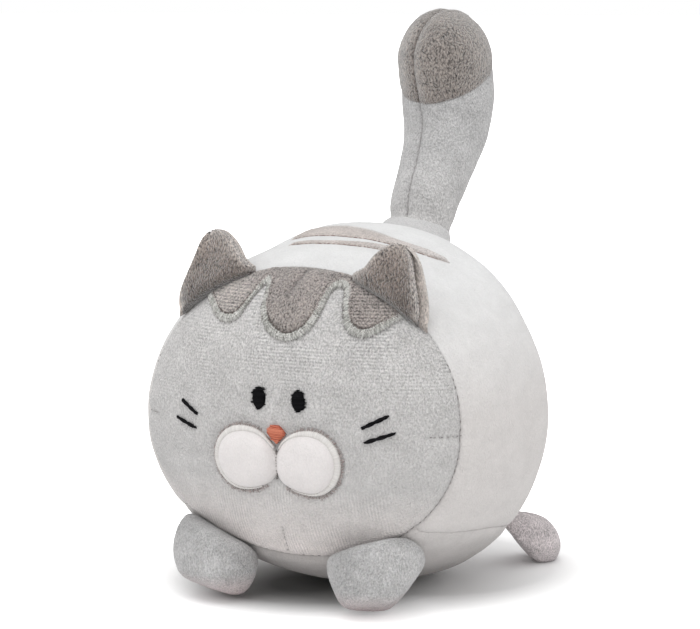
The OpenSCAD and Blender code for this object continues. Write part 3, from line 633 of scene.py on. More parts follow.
SEAM_SHIFT = 0.02                      # degrees by which the face stops short of its seam
BACK_SHIFT = 0.0004                    # share of the way to the rump by which the others stop short of it
BELLY_SHIFT = 0.04                     # degrees from the back or the belly to the seam that they share
BACK_COLUMNS, BELLY_ROWS, BELLY_COLUMNS = 300, 90, 120
PAINTED_BROW_LIGHT = 0.3                        # how much painted light pales the brow
BROW_FROM, BROW_TO = 98 * MM, 24 * MM  # above this height, and no further to the cat's left than this
BROW_FADE = 12 * MM                    # over this distance

radius, angle = disc_grid(190)
edge_t = face_seam_t(angle) - SEAM_SHIFT
share = girth_share(edge_t) * (0.25 * radius + 0.75 * np.sin(math.pi / 2 * radius))
face_t = -np.degrees(np.arcsin((1 - share ** FRONT_POWER) ** (1 / FRONT_POWER)))
face_base = skin(face_t, angle)
face_cover = panel("face_cover", face_base, GREY_PLUSH, ["face_panel"],
                   [(FACE_SEAM_LINE, seam_pull)] + [(line, 0.8) for line in DARTS.values()])
# painted light: the brow pales from a height up, except on the cat's left side
keep(face_cover, "pale", PAINTED_BROW_LIGHT * np.clip((face_base[..., 2] - BROW_FROM) / BROW_FADE, 0, 1)
     * np.clip((BROW_TO - face_base[..., 0]) / BROW_FADE, 0, 1))

rump_rows = [0.9925, 0.995, 0.997, 0.9984, 0.9993, 0.9998, 0.99999]   # closer rows where the panel closes
u = np.append(BACK_SHIFT + 0.99 * graded(110, 0.7, 0.0), rump_rows)[:, None]
edge = belly_edge(u * 0.995) + BELLY_SHIFT
k = graded(BACK_COLUMNS, 0.35, 0.35)[None, :]
back_base = rump_point(np.broadcast_to(u, (len(u), BACK_COLUMNS)), -90 + edge + (360 - 2 * edge) * k)
panel("back_cover", back_base, WHITE_PLUSH, ["back_panel", "body_stuffing"],
      [(FACE_SEAM_LINE, seam_pull), (BELLY_SEAM_LINE, 0.3), (CLOSING_SEAM_LINE, 0.8)])

u = graded(BELLY_ROWS, 0.5, 0.3)[:, None] * BELLY_END * 0.999
edge = belly_edge(u) - BELLY_SHIFT
k = graded(BELLY_COLUMNS, 0.35, 0.35)[None, :]
u = np.broadcast_to(BACK_SHIFT + u, (BELLY_ROWS, BELLY_COLUMNS))
belly_base = rump_point(u, -90 - edge + 2 * edge * k)
panel("belly_cover", belly_base, BELLY_PLUSH, ["belly_panel"],
      [(FACE_SEAM_LINE, seam_pull), (BELLY_SEAM_LINE, 0.3)])

# %% [markdown]
# ## Stitches along the face seam
# Where the thread crosses from one panel to the other it leaves a short dash in the seam. The dashes are
# real threads lying at the bottom of the groove. They stop on the brow, where the pile closes over the
# seam.

# %% A material for thread
def thread_material(name, dark, light, roughness, uneven=0.86, shine=0.4):
    """Embroidery thread: twisted, a little glossy, each stitch a slightly different shade."""
    n = Nodes(name)
    own = n.new("ShaderNodeAttribute", attribute_name="shade")
    twist = n.noise(1 / (0.28 * MM), (1, 1, 1), 1.0)
    tone = n.mix(own.outputs["Fac"], dark, light)
    tone = n.mix(n.spread(twist, 0.3, 0.7), n.mix(1.0, tone, (uneven,) * 3 + (1,), "MULTIPLY"), tone)
    n.join(tone, n.shader.inputs["Base Color"])
    n.join(n.bump(twist, 0.12 * MM, 0.6), n.shader.inputs["Normal"])
    n.shader.inputs["Roughness"].default_value = roughness
    n.shader.inputs["Specular IOR Level"].default_value = shine
    print("thread:", name)
    return n.material


SEAM_THREAD = thread_material("seam_thread", rgb(118, 112, 110), rgb(160, 154, 152), 0.8)
THREAD_SIDES = 6
random = np.random.default_rng(11)

# %% Laying threads
def threads(name, lines, normals, radius, material, slot, nodes=(), ride=True):
    """Many short threads in one mesh: lines and normals hold the points of each, end to end."""
    count, steps = lines.shape[:2]
    ways = np.gradient(lines, axis=1)
    ways /= np.maximum(np.linalg.norm(ways, axis=-1, keepdims=True), 1e-9)
    sides = np.cross(ways, normals)
    sides /= np.maximum(np.linalg.norm(sides, axis=-1, keepdims=True), 1e-9)
    ups = np.cross(sides, ways)
    turns = np.linspace(0, 2 * math.pi, THREAD_SIDES, endpoint=False)
    taper = radius * np.clip(np.sin(math.pi * np.linspace(0.06, 0.94, steps)) * 2.2, 0.3, 1)
    rings = (lines[:, :, None]
             + taper[None, :, None, None] * (np.cos(turns)[:, None] * sides[:, :, None]
                                             + np.sin(turns)[:, None] * ups[:, :, None]))
    faces = []
    for i in range(count):
        first = i * steps * THREAD_SIDES
        for r in range(steps - 1):
            for j in range(THREAD_SIDES):
                a, b = first + r * THREAD_SIDES + j, first + r * THREAD_SIDES + (j + 1) % THREAD_SIDES
                faces.append([a, b, b + THREAD_SIDES, a + THREAD_SIDES])
        faces.append([first + j for j in range(THREAD_SIDES)][::-1])
        faces.append([first + (steps - 1) * THREAD_SIDES + j for j in range(THREAD_SIDES)])
    obj = mesh_object(name, rings, faces, material)
    own = np.repeat(random.random(count), steps * THREAD_SIDES)
    obj.data.attributes.new("shade", "FLOAT", "POINT").data.foreach_set("value", own.astype(np.float32))
    if ride:
        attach(obj, "body")
    if nodes:
        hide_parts(*nodes)
    print(name + ":", count, "threads")
    return obj


def along_line(line, every, length):
    """Short threads that lie along a line of points in space, one at each stitch."""
    lengths = run_of(line)
    s = np.arange(every / 2, lengths[-1], every)
    s = s + 0.15 * every * random.standard_normal(len(s))
    reach = length * (1 + 0.25 * random.standard_normal((len(s), 1)))
    t = s[:, None] + reach * np.linspace(-0.5, 0.5, 5)
    return np.stack([np.interp(t, lengths, line[:, i]) for i in range(3)], -1)


low_seam = FACE_SEAM_LINE[FACE_SEAM_LINE[:, 2] < 96 * MM]
low_seam = low_seam[np.argsort(np.unwrap(np.arctan2(low_seam[:, 0], CENTRE_Z - low_seam[:, 2])))]
ARCH = 1 - np.linspace(-1, 1, 5) ** 2  # how a short thread rises from the cloth and dives in again


def seam_dashes(name, line, every, length, radius):
    """The dashes of a seam of the face, each rising a little out of the groove."""
    base = along_line(line, every, length)
    lift = np.broadcast_to((0.22 * ARCH - 0.1) * MM, base.shape[:2])
    threads(name, cover(base, lift), outward(base), radius, SEAM_THREAD, "face_fabric")


seam_dashes("face_seam_stitches", low_seam, STITCH, 1.3 * MM, 0.15 * MM)
for name, line in DARTS.items():
    if name != "crown":                # the forehead patch hides these
        seam_dashes(name.replace(" ", "_") + "_dart_stitches", line[3:-2], 1.7 * MM, 0.9 * MM, 0.13 * MM)

# %% [markdown]
# ## The forehead patch and its edging
# A taupe patch covers the brow: three round tongues with two narrow gaps between them. It is cut from the
# same plush, laid on the face and sewn down with a satin edging of sage thread. The edging, the eyes, the
# nose and the whiskers are machine embroidery: hundreds of short threads laid side by side. A bump map of
# stripes looks painted on when the light is low, so each thread here is a real one, a thin six-sided tube
# that rises out of the cloth, crosses the shape and dives in again. Each carries a shade of its own.

# %% Outline of the patch
PATCH_EDGE = np.array([
    [-38, 115], [-33.2, 112], [-29.6, 109.2], [-25.2, 107.8], [-20.6, 109.2], [-17.2, 114.2], [-14.4, 119.6],
    [-11.9, 122.4], [-9.9, 120.0], [-9.4, 115.4], [-8.4, 110.6], [-4.8, 105.9], [1.7, 103], [8.6, 105.6],
    [12.2, 111.0], [13.8, 118.0], [15.4, 121.4], [18.2, 122.2], [20.9, 120.8], [22.5, 116.9], [23.9, 111.8],
    [25.9, 107.8], [31, 105.5], [36, 107.3], [42, 111.7]]) * MM


def curve_between(p0, p1, p2, p3, s):
    """Place on a smooth curve, at a share s of the way from the second of four points to the third."""
    return 0.5 * (2 * p1 + (p2 - p0) * s + (2 * p0 - 5 * p1 + 4 * p2 - p3) * s * s
                  + (3 * p1 - p0 - 3 * p2 + p3) * s ** 3)


def spline(points, steps):
    """A smooth curve through a few points."""
    padded_points = np.concatenate([points[:1], points, points[-1:]])
    curve = []
    for p0, p1, p2, p3 in zip(padded_points, padded_points[1:], padded_points[2:], padded_points[3:]):
        for s in np.linspace(0, 1, steps, endpoint=False):
            curve.append(curve_between(p0, p1, p2, p3, s))
    return np.array(curve + [points[-1]])


patch_line = spline(PATCH_EDGE, 16)
crown_seam = FACE_SEAM_LINE[(FACE_SEAM_LINE[:, 2] > CENTRE_Z)]
crown_seam = crown_seam[np.argsort(crown_seam[:, 0])]
patch_top = np.interp(patch_line[:, 0], crown_seam[:, 0], crown_seam[:, 2]) - 0.2 * MM

# %% The patch
TAUPE_PLUSH = plush("taupe_plush", rgb(160, 151, 147), rgb(152, 144, 139), grain=0.62, lie=(1, 1, 0.6),
                    tilt=20, pile=0.45 * MM, mottle=0.12, seam=0.75, between=(104 * MM, 122 * MM), sheen=0.5,
                    pale_colour=rgb(182, 174, 169),
                    knits=[("Z", 1.1 * MM, 0.55, "X", 16 * MM, 22 * MM, False)])
rise = graded(56, 0.5, 0.3)[:, None]
top = np.maximum(patch_top, patch_line[:, 1] + 0.8 * MM)
patch_base = face_point(patch_line[None, :, 0] + 0 * rise, patch_line[None, :, 1] * (1 - rise) + top * rise)
patch_thickness = 1.1 * MM * np.minimum(1, 6 * rise) * np.minimum(1, 8 * (1 - rise) + 0.3)
patch_thickness = patch_thickness + 0.14 * MM * wander(patch_base, 1.1 * MM, 3) * np.minimum(1, 6 * rise)
patch = cloth("forehead_patch_plush", cover(patch_base, patch_thickness), cover(patch_base, -0.6 * MM),
              TAUPE_PLUSH)
mark_seams(patch, patch_base, [(DARTS["crown"], 1.0)], 0.9 * MM)
# the pile of the left tongue is brushed paler
pale_share = 0.8 * np.clip((-16 * MM - patch_base[..., 0]) / (5 * MM), 0, 1)
tinted = 0.6 * np.exp(-(1 - rise) * (top - patch_line[:, 1]) / (0.9 * MM))
keep(patch, "pale", np.maximum(pale_share, tinted))
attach(patch, "body")
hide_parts("forehead_patch")

# %% Satin stitch
def sewn(x, z, lift):
    """Points and normals of threads laid over the finished cover of the face."""
    base = face_point(x, z)
    return cover(base, lift), outward(base)


def satin(path, width, pitch, crown, base, lean, ragged):
    """Satin stitch along a line: the x and z of threads that cross it side by side."""
    lengths = run_of(path)
    width = np.broadcast_to(width, lengths.shape)
    s = np.arange(pitch / 2, lengths[-1], pitch)
    x, z = (np.interp(s, lengths, path[:, i]) for i in (0, 1))
    d = np.stack([np.interp(s + pitch, lengths, path[:, i]) - np.interp(s - pitch, lengths, path[:, i])
                  for i in (0, 1)], -1)
    d /= np.maximum(np.linalg.norm(d, axis=1, keepdims=True), 1e-9)
    across = np.stack([-d[:, 1], d[:, 0]], -1)
    q = np.linspace(-0.5, 0.5, 7)[None, :]
    own_width = np.interp(s, lengths, width)[:, None]
    reach = own_width * (1 + ragged * random.standard_normal((len(s), 1)))
    slant = lean * own_width * np.where(np.arange(len(s)) % 2, 1, -1)[:, None] * q
    px = x[:, None] + across[:, :1] * reach * q + d[:, :1] * slant
    pz = z[:, None] + across[:, 1:] * reach * q + d[:, 1:] * slant
    lift = base + crown * (1 - (2 * q) ** 2) ** 0.5 * np.ones_like(px) - 0.5 * MM * (np.abs(q) > 0.45)
    return px, pz, lift


def edge_stitches(name, path, offset, length, every, radius, material, slot, lift, turn=0.0):
    """Small uneven stitches across a line on the face, a given distance to its left."""
    lengths = run_of(path)
    s = np.arange(every / 2, lengths[-1], every)
    s = s + every * 0.3 * random.standard_normal(len(s))
    at = np.stack([np.interp(s, lengths, path[:, i]) for i in range(2)], -1)
    ahead = np.stack([np.interp(s + every, lengths, path[:, i]) for i in range(2)], -1) - at
    ahead /= np.maximum(np.linalg.norm(ahead, axis=1, keepdims=True), 1e-9)
    across = np.stack([-ahead[:, 1], ahead[:, 0]], -1)
    slant = turn + 0.5 * random.standard_normal(len(s))[:, None]
    way = across * np.cos(slant) + ahead * np.sin(slant)
    q = np.linspace(-0.5, 0.5, 5)[None, :]
    size = length * (1 + 0.4 * random.standard_normal(len(s)))[:, None]
    middle = at + across * np.interp(s, lengths, np.broadcast_to(offset, lengths.shape))[:, None]
    px = middle[:, :1] + way[:, :1] * size * q
    pz = middle[:, 1:] + way[:, 1:] * size * q
    height = lift * (1 - (2 * q) ** 2) * np.ones_like(px)
    threads(name, *sewn(px, pz, height + 0.1 * MM), radius, material, slot)

# %% The satin edging and the stitches beside it
SAGE_THREAD = thread_material("sage_thread", rgb(166, 166, 160), rgb(248, 247, 243), 0.6, 0.76)
DARK_THREAD = thread_material("dark_thread", rgb(98, 91, 87), rgb(138, 130, 126), 0.8)
EDGING_WIDTH = 3.1 * MM
edging_width = EDGING_WIDTH * (1 - 0.5 * np.exp(-((patch_line[:, 0] + 17 * MM) / (3.5 * MM)) ** 2))
x, z, lift = satin(patch_line, edging_width, 0.27 * MM, 0.4 * MM, 0.6 * MM, lean=0.3, ragged=0.2)
threads("forehead_edging_threads", *sewn(x, z, lift), 0.15 * MM, SAGE_THREAD, "sage_satin",
        ["forehead_edging"])
edge_stitches("forehead_inner_stitches", patch_line, edging_width / 2, 0.7 * MM, 0.6 * MM, 0.17 * MM,
              DARK_THREAD, "taupe_fabric", 1.15 * MM)
# dark specks among the edging's threads: painted shade of the gaps between them
speck_offset = edging_width * 0.8 * (random.random(len(patch_line)) - 0.5)
edge_stitches("forehead_edging_specks", patch_line, speck_offset, 0.55 * MM, 0.95 * MM, 0.11 * MM,
              DARK_THREAD, "sage_satin", 1.15 * MM)
edge_stitches("forehead_outer_stitches", patch_line, -edging_width / 2, 0.6 * MM, 1.0 * MM, 0.12 * MM,
              SEAM_THREAD, "face_fabric", 0.3 * MM)

# %% [markdown]
# ## The muzzle
# Two padded ovals of smooth off-white plush make the muzzle. Each has a little filling of its own, so it
# stands up from the face like a small cushion. They meet at one line below the nose, and round the outside
# a white satin border holds them down. A few brown fibres show round the border, where the needle caught
# the pile.

# %% Where a point of a muzzle pad lies
MUZZLE_BORDER = 2.6 * MM
MUZZLE_CROWN = 4.3 * MM
MUZZLE_SAG = 1.8 * MM                  # how much lower each pad lies where the two meet
BORDER_FROM, BORDER_TO = -122, 152     # degrees round a pad, from its outer side, that the satin covers
FIBRES_FROM, FIBRES_TO = -132, 122     # and that the brown fibres do
PAD_PLUSH = plush("pad_plush", rgb(229, 225, 224), rgb(225, 220, 219), grain=0.03, pile=0.15 * MM,
                  mottle=0.02, seam=0.28, seam_colour=rgb(184, 184, 179))
BORDER_THREAD = thread_material("border_thread", rgb(214, 211, 208), rgb(229, 226, 223), 0.6, 0.97, 0.2)
MUZZLE_FIBRE = thread_material("muzzle_fibre", rgb(142, 127, 123), rgb(204, 190, 187), 0.8)


def border_width(angle):
    """Width of the satin border: broad on top and outside, narrow below, none where the pads meet."""
    a = np.radians(angle)
    return MUZZLE_BORDER * np.clip(0.62 + 0.62 * np.cos(a) + 0.30 * np.sin(a), 0.07, 1.0)


def muzzle_at(side, radius, angle, inset):
    """Place in a muzzle pad, from its middle at radius 0 to its outline at 1."""
    a = np.radians(angle)
    x, z = muzzle_rim(a, inset)
    sag = MUZZLE_SAG * np.maximum(0, -np.cos(a)) ** 4
    return side * (MUZZLE_X + radius * x), MUZZLE_MIDDLE[2] + radius * (z - sag)

# %% Muzzle pads and borders
def muzzle_pad(side, name):
    """One padded oval of the muzzle with its satin border."""
    radius, angle = disc_grid(60)
    radius = 0.5 * radius + 0.5 * np.sin(math.pi / 2 * radius)
    base = face_point(*muzzle_at(side, radius, angle, 0.75 * border_width(angle)))
    lift = 0.3 * MM + MUZZLE_CROWN * np.maximum(0, 1 - radius ** 2.4) ** 0.6
    lift = lift + 0.25 * MM * wander(base, 7 * MM, 4) * (1 - radius ** 2)
    pad = cloth("muzzle_pad_" + name + "_plush", cover(base, lift), cover(base, -0.8 * MM), PAD_PLUSH)
    # painted shade: the pad turns grey towards its rim, in the valley at the border
    keep(pad, "seam", np.exp(-((1 - radius) / 0.045) ** 2))
    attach(pad, "body")
    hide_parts("muzzle_pad_" + name)
    a = np.linspace(BORDER_FROM, BORDER_TO, 170)
    path = np.stack(muzzle_at(side, 1.0, a, border_width(a) / 2), -1)
    x, z, lift = satin(path, border_width(a) * 1.05, 0.26 * MM, 0.8 * MM, 0.5 * MM, lean=0.05, ragged=0.04)
    threads("muzzle_border_" + name + "_threads", *sewn(x, z, lift), 0.21 * MM, BORDER_THREAD, "pad_fabric",
            ["muzzle_border_" + name])
    a = np.linspace(FIBRES_FROM, FIBRES_TO, 240)
    below = np.maximum(0, -np.sin(np.radians(a)))
    edge = np.stack(muzzle_at(side, 1.0, a, -(0.25 + 0.65 * below) * MM), -1)
    edge_stitches("muzzle_fibres_" + name, edge, 0, 1.5 * MM, 0.6 * MM, 0.12 * MM, MUZZLE_FIBRE,
                  "face_fabric", 0.7 * MM)


for side, name in SIDES:
    muzzle_pad(side, name)
middle_line = np.stack([np.full(20, -0.1 * MM), np.linspace(49.5, 62, 20) * MM], -1)
edge_stitches("muzzle_middle_stitches", middle_line, 0, 0.9 * MM, 1.1 * MM, 0.13 * MM, DARK_THREAD,
              "pad_fabric", 1.1 * MM, turn=math.pi / 2)

# %% [markdown]
# ## Eyes, nose and whiskers
# The eyes and the nose are filled with threads laid across, over a low pad that keeps the grey from showing
# between them. Their edges are a little ragged, because each thread ends where the needle happened to go
# in. The whiskers are doubled threads that cross over each other.

# %% Filled embroidery
def filled(name, centre, half_width_at, half_height, crown, base, material, slot, pitch, ragged, lean,
           pad_material):
    """A shape filled with threads laid across, over a low pad."""
    z = np.arange(-half_height + pitch / 2, half_height, pitch)
    half = np.maximum(half_width_at(z / half_height), 0.2 * MM)
    left, right = (end * half + ragged * np.repeat(random.standard_normal(len(z) // 2 + 1), 2)[:len(z)]
                   for end in (-1, 1))
    q = np.linspace(0, 1, 7)[None, :]
    px = centre[0] + left[:, None] * (1 - q) + right[:, None] * q
    pz = centre[2] + z[:, None] + 0.8 * pitch * (random.random((len(z), 1)) - 0.5) + lean * (q - 0.5)
    bulge = np.sqrt(np.maximum(0, 1 - (z / half_height) ** 2))[:, None]
    lift = base + crown * (0.25 + 0.75 * bulge) * np.sqrt(np.maximum(0, 1 - (2 * q - 1) ** 2)) - 0.1 * MM
    threads(name + "_threads", *sewn(px, pz, lift), 0.25 * MM, material, slot, [name])
    radius, angle = disc_grid(22)
    h = np.sin(np.radians(angle)) * radius
    w = (half_width_at(h) - 0.6 * ragged) * np.sign(np.cos(np.radians(angle)))
    side = np.abs(np.cos(np.radians(angle)) * radius) / np.sqrt(np.maximum(1e-6, 1 - h * h))
    pad_base = face_point(centre[0] + w * np.minimum(1, side), centre[2] + h * half_height * 0.96)
    pad_lift = base + (crown - 0.15 * MM) * np.sqrt(np.maximum(0, 1 - radius ** 2))
    pad = cloth(name + "_pad", cover(pad_base, pad_lift), cover(pad_base, -0.5 * MM), pad_material)
    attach(pad, "body")


def oval(width):
    """Half width of a blunt oval, from its lower to its upper end."""
    return lambda h: width / 2 * np.maximum(0, 1 - np.abs(h) ** 2.3) ** 0.5


def nose_shape(h):
    """Half width of the nose: a short flat top, broadest near its middle, running to a point below."""
    u = np.clip((h - 0.12) / 0.88, 0, 1)
    up = 1 - 0.45 * u - 0.2 * u ** 5
    down = np.clip((h + 1) / 1.12, 0, 1) ** 0.9
    return NOSE_WIDTH / 2 * np.where(h > 0.12, up, down)


BLACK_THREAD = thread_material("black_thread", rgb(8, 8, 10), rgb(24, 23, 26), 0.8, 0.8, 0.08)
CORAL_THREAD = thread_material("coral_thread", rgb(206, 112, 84), rgb(238, 154, 124), 0.55, 0.75)
CORAL_GROUND = thread_material("coral_ground", rgb(168, 84, 64), rgb(176, 92, 70), 0.7)
NOSE_WIDTH, NOSE_HEIGHT = 7.9 * MM, 7.2 * MM
EYE_WIDTH = 5.7 * MM
EYE_PLACES = {"left": 8.6 * MM, "right": -7.7 * MM}   # no two eyes are sewn quite alike
EYE_HEIGHTS = {"left": EYE_SIZE[2] - 0.4 * MM, "right": EYE_SIZE[2]}
for _, name in SIDES:
    filled("eye_" + name, (EYE_PLACES[name], 0, EYE_MIDDLE[2]), oval(EYE_WIDTH), EYE_HEIGHTS[name] / 2,
           0.8 * MM, 0.3 * MM, BLACK_THREAD, "black_thread", pitch=0.36 * MM, ragged=0.4 * MM, lean=0.3 * MM,
           pad_material=BLACK_THREAD)
filled("nose", (0, 0, NOSE_MIDDLE[2] - 0.4 * MM), nose_shape, NOSE_HEIGHT / 2, 0.8 * MM, 1.2 * MM,
       CORAL_THREAD, "coral_thread", pitch=0.5 * MM, ragged=0.25 * MM, lean=-0.5 * MM,
       pad_material=CORAL_GROUND)

# %% Whiskers
WHISKER_ENDS = {                       # x and z of the inner and outer ends, upper then lower
    "left": [((33.9, 72.1), (43.9, 77.3)), ((34.9, 67.0), (46.4, 71.1))],
    "right": [((-34.1, 72.1), (-42.0, 77.0)), ((-34.6, 66.9), (-44.9, 70.2))],
}
WHISKER_STRAND = 0.5 * MM
WHISKER_TWIST, WHISKER_TURNS = 0.30 * MM, 1.5   # how far the two strands swing apart, and how often they turn
WHISKER_LOOP = 0.42 * MM               # how far they part again in the loop at the outer end


def whisker_pair(name):
    """Two doubled threads on a cheek, each ending in a small loop."""
    lines, normals = [], []
    q = np.linspace(0, 1, 26)
    for k, (inner, outer) in enumerate(WHISKER_ENDS[name]):
        inner, outer = np.array(inner) * MM, np.array(outer) * MM
        way = (outer - inner) / np.linalg.norm(outer - inner)
        for strand in (-1, 1):
            turn = 2 * math.pi * WHISKER_TURNS * q + 0.8 * k
            off = strand * WHISKER_TWIST * np.cos(turn)
            off = off + strand * WHISKER_LOOP * np.exp(-((q - 0.90) / 0.06) ** 2)
            x = inner[0] + (outer[0] - inner[0]) * q - off * way[1]
            z = inner[1] + (outer[1] - inner[1]) * q + off * way[0]
            lift = 0.45 * MM + 0.15 * MM * strand * np.sin(turn)
            lift = lift - 0.8 * MM * np.abs(2 * q - 1) ** 14
            points, ups = sewn(x, z, lift)
            lines.append(points)
            normals.append(ups)
    lines, normals = np.array(lines), np.array(normals)
    threads("whiskers_" + name + "_threads", lines, normals, WHISKER_STRAND, BLACK_THREAD, "black_thread",
            ["whiskers_" + name])
    stray = lines + 0.3 * MM * wander(lines * 9, 6 * MM, 8)[..., None] * np.array([0, 0, 1])
    threads("whiskers_" + name + "_strays", stray + np.array([0, -0.2 * MM, 0]), normals, 0.22 * MM,
            BLACK_THREAD, "black_thread")


for _, name in SIDES:
    whisker_pair(name)

# %% [markdown]
# ## Stripes on the back
# Two taupe crescents lie across the back. They are thin pieces of the same plush sewn flat, so only a low
# step and a broken dark line of stitches along their front edge set them off. The pile is brushed pale at
# the rear edge, which is why the stripes fade there.

# %% Back stripes
STRIPE_PLUSH = plush("stripe_plush", rgb(203, 194, 189), rgb(203, 194, 189), grain=0.22, mottle=0.08,
                     pile=0.3 * MM, pale_colour=rgb(226, 224, 223))
STRIPE_THREAD = thread_material("stripe_thread", rgb(128, 104, 97), rgb(178, 160, 153), 0.8)


def stripe(name, ends, front, widths, thickness):
    """A band across the back: front gives its front edge, widths its width in the middle and at the left."""
    left, right = ends
    s = np.linspace(0, 1, 110)[None, :]
    x = left + (right - left) * s
    middle_place, bend, slant = front
    py = middle_place + bend * (x / (40 * MM)) ** 2 + slant * x
    narrow = smooth(np.clip((x + 6 * MM) / (34 * MM), 0, 1))
    width = widths[0] + (widths[1] - widths[0]) * narrow
    closing = np.clip(np.minimum((x - left) / (4 * MM), (right - x) / (9 * MM)), 0, 1) ** 0.6
    r = graded(26, 0.3, 0.3)[:, None]
    py = py + np.maximum(0.8 * MM, width * closing) * r
    base = back_point(x + 0 * r, py)
    edge = np.clip(np.minimum(x - left, right - x) / (2 * MM), 0.1, 1)
    lift = thickness * np.minimum(1, 9 * r + 0.05) * np.minimum(1, 3 * (1 - r)) * edge
    lift = lift + 0.08 * MM * wander(base, 1.1 * MM, 5)
    obj = cloth(name + "_plush", cover(base, lift), cover(base, -0.6 * MM), STRIPE_PLUSH)
    ending = np.clip((x - 0.35 * right) / (0.65 * right), 0, 1) * 0.6
    keep(obj, "pale", np.maximum(np.clip((r - 0.5) / 0.5, 0, 1) ** 1.2, ending * np.clip(8 * r, 0, 1)))
    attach(obj, "body")
    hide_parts(name)
    path = cover(base[0], lift[0])[4:-4]
    lines = along_line(path, 1.9 * MM, 1.5 * MM)
    lines[..., 2] += 0.15 * MM * ARCH
    threads(name + "_stitches", lines, outward(lines), 0.15 * MM, STRIPE_THREAD, "taupe_fabric")


stripe("back_stripe_front", (-16 * MM, 31 * MM), (-38.2 * MM, 11.5 * MM, 0.1), (3.2 * MM, 7.2 * MM),
       0.7 * MM)
stripe("back_stripe_rear", (-22 * MM, 41 * MM), (-28.6 * MM, 11.5 * MM, 0.03), (17 * MM, 6.5 * MM),
       1.0 * MM)

# %% [markdown]
# ## Ears
# Each ear is two layers of taupe plush, sewn together round the edge, turned right side out and caught in
# the face seam. So it is thin and rounded at the rim, a little hollow in front, and a row of needle holes
# shows where the two layers meet. The rim could be bevelled afterwards, but here the thickness of each
# layer simply runs out towards the edge, as the fabric does where it is turned over the seam.

# %% Where an ear is sewn in
EAR_INNER, EAR_OUTER = 74, 44.5        # degrees round the face seam
EAR_HEIGHT = {1: 21.1 * MM, -1: 20.7 * MM}
EAR_TIP = {1: (0.02, 0.50, -0.05), -1: (0.02, 0.04, 0.135)}   # how each tip leans outward as it rises
EAR_CUP = 2.5 * MM
EAR_LAYER, EAR_ROOT = 3.4 * MM, 1.5 * MM
EAR_SWELL = 2.9 * MM                   # the front layer is fullest where it rolls over its seam
EAR_GAP = 0.3 * MM
EAR_CORNER = 0.07                      # share by which an ear draws in where its corners are rounded off
EAR_RIM = 1.9 * MM                     # radius of the rounded rim
EAR_BACK_EDGE = 1.7 * MM               # the back layer reaches this much further round the outer side
EAR_FRONT_EDGE = {1: 2.2 * MM, -1: 0}  # and the front layer stops this much short of it
EAR_WAIST = {1: 0.08, -1: 0.06}        # share by which the inner side is hollow
EAR_FLARE = {1: -0.05, -1: 0.04}       # share by which it sweeps out into the seam
EAR_OUTER_LOW = {1: 0.03, -1: 0.13}    # share by which the outer side is full, low down
EAR_OUTER_HIGH = {1: 0, -1: -0.08}     # and near the tip
EAR_FOOT = 0.07                        # share of the height over which the corners at the root run out
EAR_TUCK = 0.16                        # share of the height that is rolled under, into the seam
EAR_SOFT = 0.6 * MM                    # how softly the rim turns from the side to the top


def ear_seat(a):
    """Place on the face seam at an angle round the body, and the way out of the body there."""
    point = skin(face_seam_t(float(a)), float(a))
    return point, outward(point)


ear_ends = [ear_seat(a) for a in (EAR_INNER, EAR_OUTER)]
ear_mid = ear_seat((EAR_INNER + EAR_OUTER) / 2)[0]
EAR_BOW = np.linalg.norm(ear_mid - (ear_ends[0][0] + ear_ends[1][0]) / 2)
pins = [point + (EAR_BOW + EAR_ROOT + EAR_GAP) * way for point, way in ear_ends]
EAR_MIDDLE, EAR_HALF = (pins[0] + pins[1]) / 2, (pins[1] - pins[0]) / 2
print("ear: %.1f mm wide at its seam" % (2 * np.linalg.norm(EAR_HALF) / MM))

